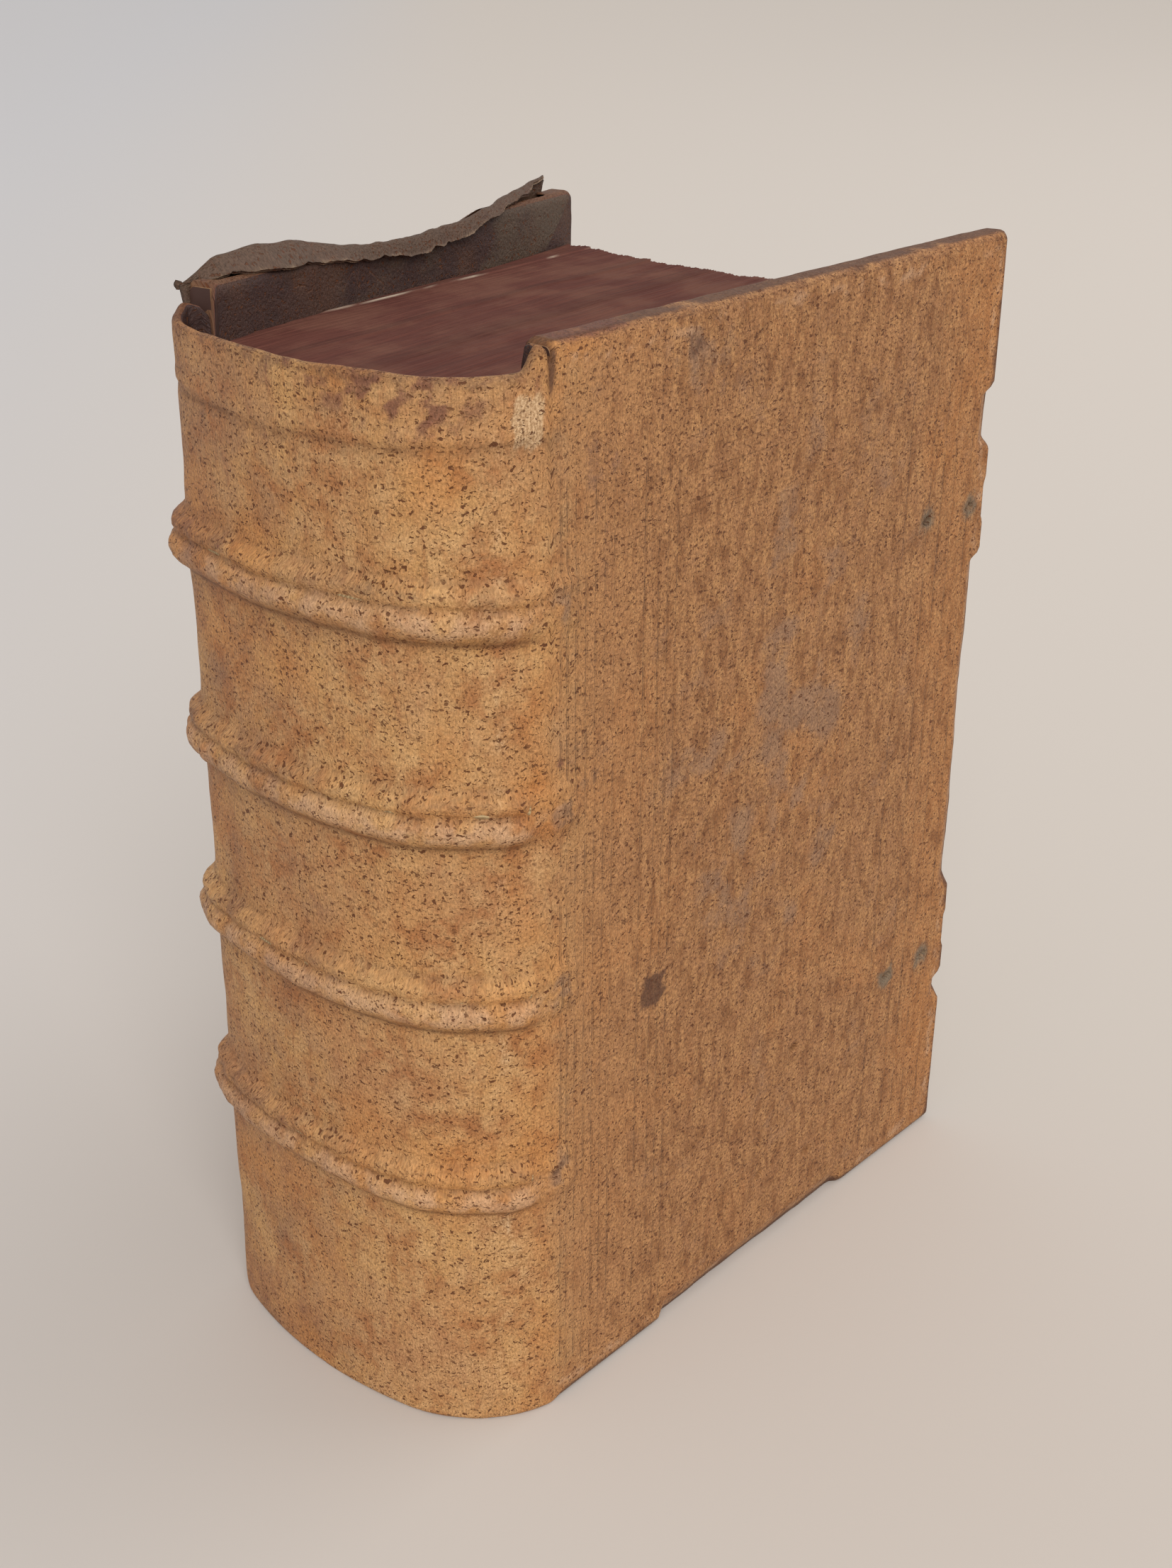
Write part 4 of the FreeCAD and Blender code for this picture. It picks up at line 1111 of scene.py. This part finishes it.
def text_block_piece(material):
    plan = text_plan()
    leaf = np.arange(LEAVES)
    wave = lattice(leaf, leaf * 0, 3)
    group = lattice(leaf // 9, leaf * 0, 4)
    step = 0.35 * (group - 0.5) + 0.18 * (wave - 0.5)
    ragged = 0.5 * (group - 0.5) + 0.3 * (wave - 0.5)
    depth = np.linspace(0, 1, DEEP)
    thickness = leaf * LEAF_PITCH
    sheet = Sheet()
    marks = []

    def add(points, unfolded, kind_marks, flip=False):
        sheet.grid(points, unfolded, flip=flip)
        marks.append(kind_marks.reshape(-1, 4))

    fore_fade = smooth(0.9, 1.0, depth)[None, :]
    shift = unit(plan[:, -1] - plan[:, -2])
    plan = plan + shift[:, None, :] * (ragged[:, None] * fore_fade)[..., None]
    leaf_grid, depth_grid = np.meshgrid(thickness, depth, indexing="ij")
    roll = 0.5 * noise(leaf_grid * 0.6, depth_grid * 60, 14.0, 51)
    dip = -0.8 * np.exp(-((leaf_grid - LEAF_PITCH * LEAVES) / 4) ** 2)
    head = TEXT_HEAD + step[:, None] + roll + dip - 0.4
    tail = TEXT_TAIL - 0.12 * step[:, None] + 0 * head
    tear = np.exp(-((leaf_grid - LEAF_PITCH * LEAVES * 0.9) / 0.28) ** 2) * (depth_grid > 0.1)
    tear = tear * smooth(-0.1, 0.5, noise(depth_grid * 90, leaf_grid, 5.0, 52, 3))
    shade = np.clip(smooth(0.62, 1.0, group)[:, None] * 0.5
                    + 0.6 * (1 - smooth(0, 0.06, depth_grid)), 0, 1)
    one = np.ones_like(head)
    length = depth_grid * 130
    unfolded = np.stack([leaf_grid, length], -1)
    points = np.concatenate([plan, head[..., None]], -1)
    add(points, unfolded, np.stack([one, tear, shade, one], -1))
    points = np.concatenate([plan, tail[..., None]], -1)
    add(points, unfolded, np.stack([0 * one, 0 * one, shade, one], -1), flip=True)
    levels = np.concatenate([[0], np.linspace(0.01, 0.99, 22), [1]])

    def wall(pick, leaf_place, head_share, dark, flip):
        """An upright side of the block over one line of its plan."""
        low, high = tail[pick][:, None], head[pick][:, None]
        z = low * (1 - levels) + high * levels
        xy = np.repeat(plan[pick][:, None], len(levels), axis=1)
        zero = 0 * z
        add(np.concatenate([xy, z[..., None]], -1), np.stack([leaf_place + zero, z], -1),
            np.stack([head_share + zero, zero, dark + zero, zero + 1], -1), flip)

    for column, flip in ((-1, False), (0, True)):
        wall(np.s_[:, column], thickness[:, None], smooth(0.985, 1.0, levels) * 0.7,
             0.3 * shade[:, [column]], flip)
    for row, flip in ((0, False), (-1, True)):
        wall(np.s_[row], 0.2, 0.1 * levels, 0, flip)
    points, faces, unfolded, kinds = sheet.arrays()
    corner_sheet = unfolded[faces]
    return make_object("leaves", points, faces, corner_sheet, kinds, [material],
                       {"marks": np.concatenate(marks)})


# Putting it together

outside = leather_material("pigskin", True)
inside = leather_material("pigskin_turn_in", False)
for side in ("front", "back"):
    piece = leather_half(side, side + "_leather", [outside, inside])
    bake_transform(piece)
    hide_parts("spine_leather", side + "_cover_leather")

flap = torn_flap([inside, inside])
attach(flap, "back_cover")

leaves = text_block_piece(leaves_material())
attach(leaves, "book_block")
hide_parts("text_block")

wood, paper, hemp = wood_material(), paper_material(), cord_material()
for name, node in frame["nodes"].items():
    for word, material in (("board", wood), ("pastedown", paper), ("cord", hemp),
                           ("lacing", hemp)):
        if word in name:
            node.data.materials.clear()
            node.data.materials.append(material)

# Floor, light and camera

# The floor is painted cooler and darker towards the left of the view: painted shade where the light
# falls off.
FLOOR = linear(203, 194, 185)
FLOOR_SHADED = linear(196, 194, 195)
floor_mesh = bpy.data.meshes.new("floor")
floor_mesh.from_pydata([(-12, -12, 0), (12, -12, 0), (12, 12, 0), (-12, 12, 0)], [], [(0, 1, 2, 3)])
floor = linked("floor", floor_mesh)
floor_shader = Shader("floor")
across, inwards, _ = floor_shader.split(floor_shader.node("TexCoord").outputs["Object"])
leftwards = floor_shader.ramp(floor_shader.less(inwards, across), -0.1, 0.7)
floor_mesh.materials.append(floor_shader.finish(
    floor_shader.mix(leftwards, FLOOR, FLOOR_SHADED), None, 0.9))


def lamp(name, kind, look, power):
    """A lamp that shines along the direction look."""
    data = bpy.data.lights.new(name, kind)
    data.energy = power
    thing = linked(name, data)
    thing.rotation_euler = Vector(look).to_track_quat("-Z", "Y").to_euler()
    return thing


lamp("key", "SUN", (0.95, 1.05, -1.15), 1.75).data.angle = math.radians(35)
FILL_PLACE, FILL_TARGET = Vector((1.6, -0.8, 1.8)), Vector((0, 0, 0.1))
fill = lamp("fill", "AREA", FILL_TARGET - FILL_PLACE, 14.0)
fill.location, fill.data.size = FILL_PLACE, 2.0
world = bpy.data.worlds.new("studio")
world.use_nodes = True
world.node_tree.nodes["Background"].inputs[0].default_value = (1.0, 0.98, 0.96, 1.0)
world.node_tree.nodes["Background"].inputs[1].default_value = 0.60
bpy.context.scene.world = world

# The camera stands where the photograph was taken from
PHOTO_UNIT = 210.0
CAMERA_UNITS = (-1.08818672, -0.99945268, 1.33804815)
PHOTO_HEIGHT = 2212
FOCAL_PIXELS = 2860
SENSOR = 36.0
AZIMUTH, ELEVATION, ROLL = map(math.radians, (-48.463, 25.166, 0.402))
place_mm = np.array(CAMERA_UNITS) * PHOTO_UNIT + np.array([*HINGE["front"], 0])
back = Vector((math.sin(AZIMUTH) * math.cos(ELEVATION),
               -math.cos(AZIMUTH) * math.cos(ELEVATION), math.sin(ELEVATION)))
right = Vector((0, 0, 1)).cross(back).normalized()
up = back.cross(right)
level_x = right * math.cos(ROLL) + up * math.sin(ROLL)
level_y = up * math.cos(ROLL) - right * math.sin(ROLL)
camera_data = bpy.data.cameras.new("camera")
camera_data.sensor_width = SENSOR
camera_data.lens = FOCAL_PIXELS * SENSOR / PHOTO_HEIGHT
camera = linked("camera", camera_data)
turn = Matrix((level_x, level_y, back)).transposed().to_4x4()
turn.translation = Vector(place_mm * MM)
camera.matrix_world = turn
bpy.context.scene.camera = camera
bpy.context.scene.view_settings.view_transform = "Standard"
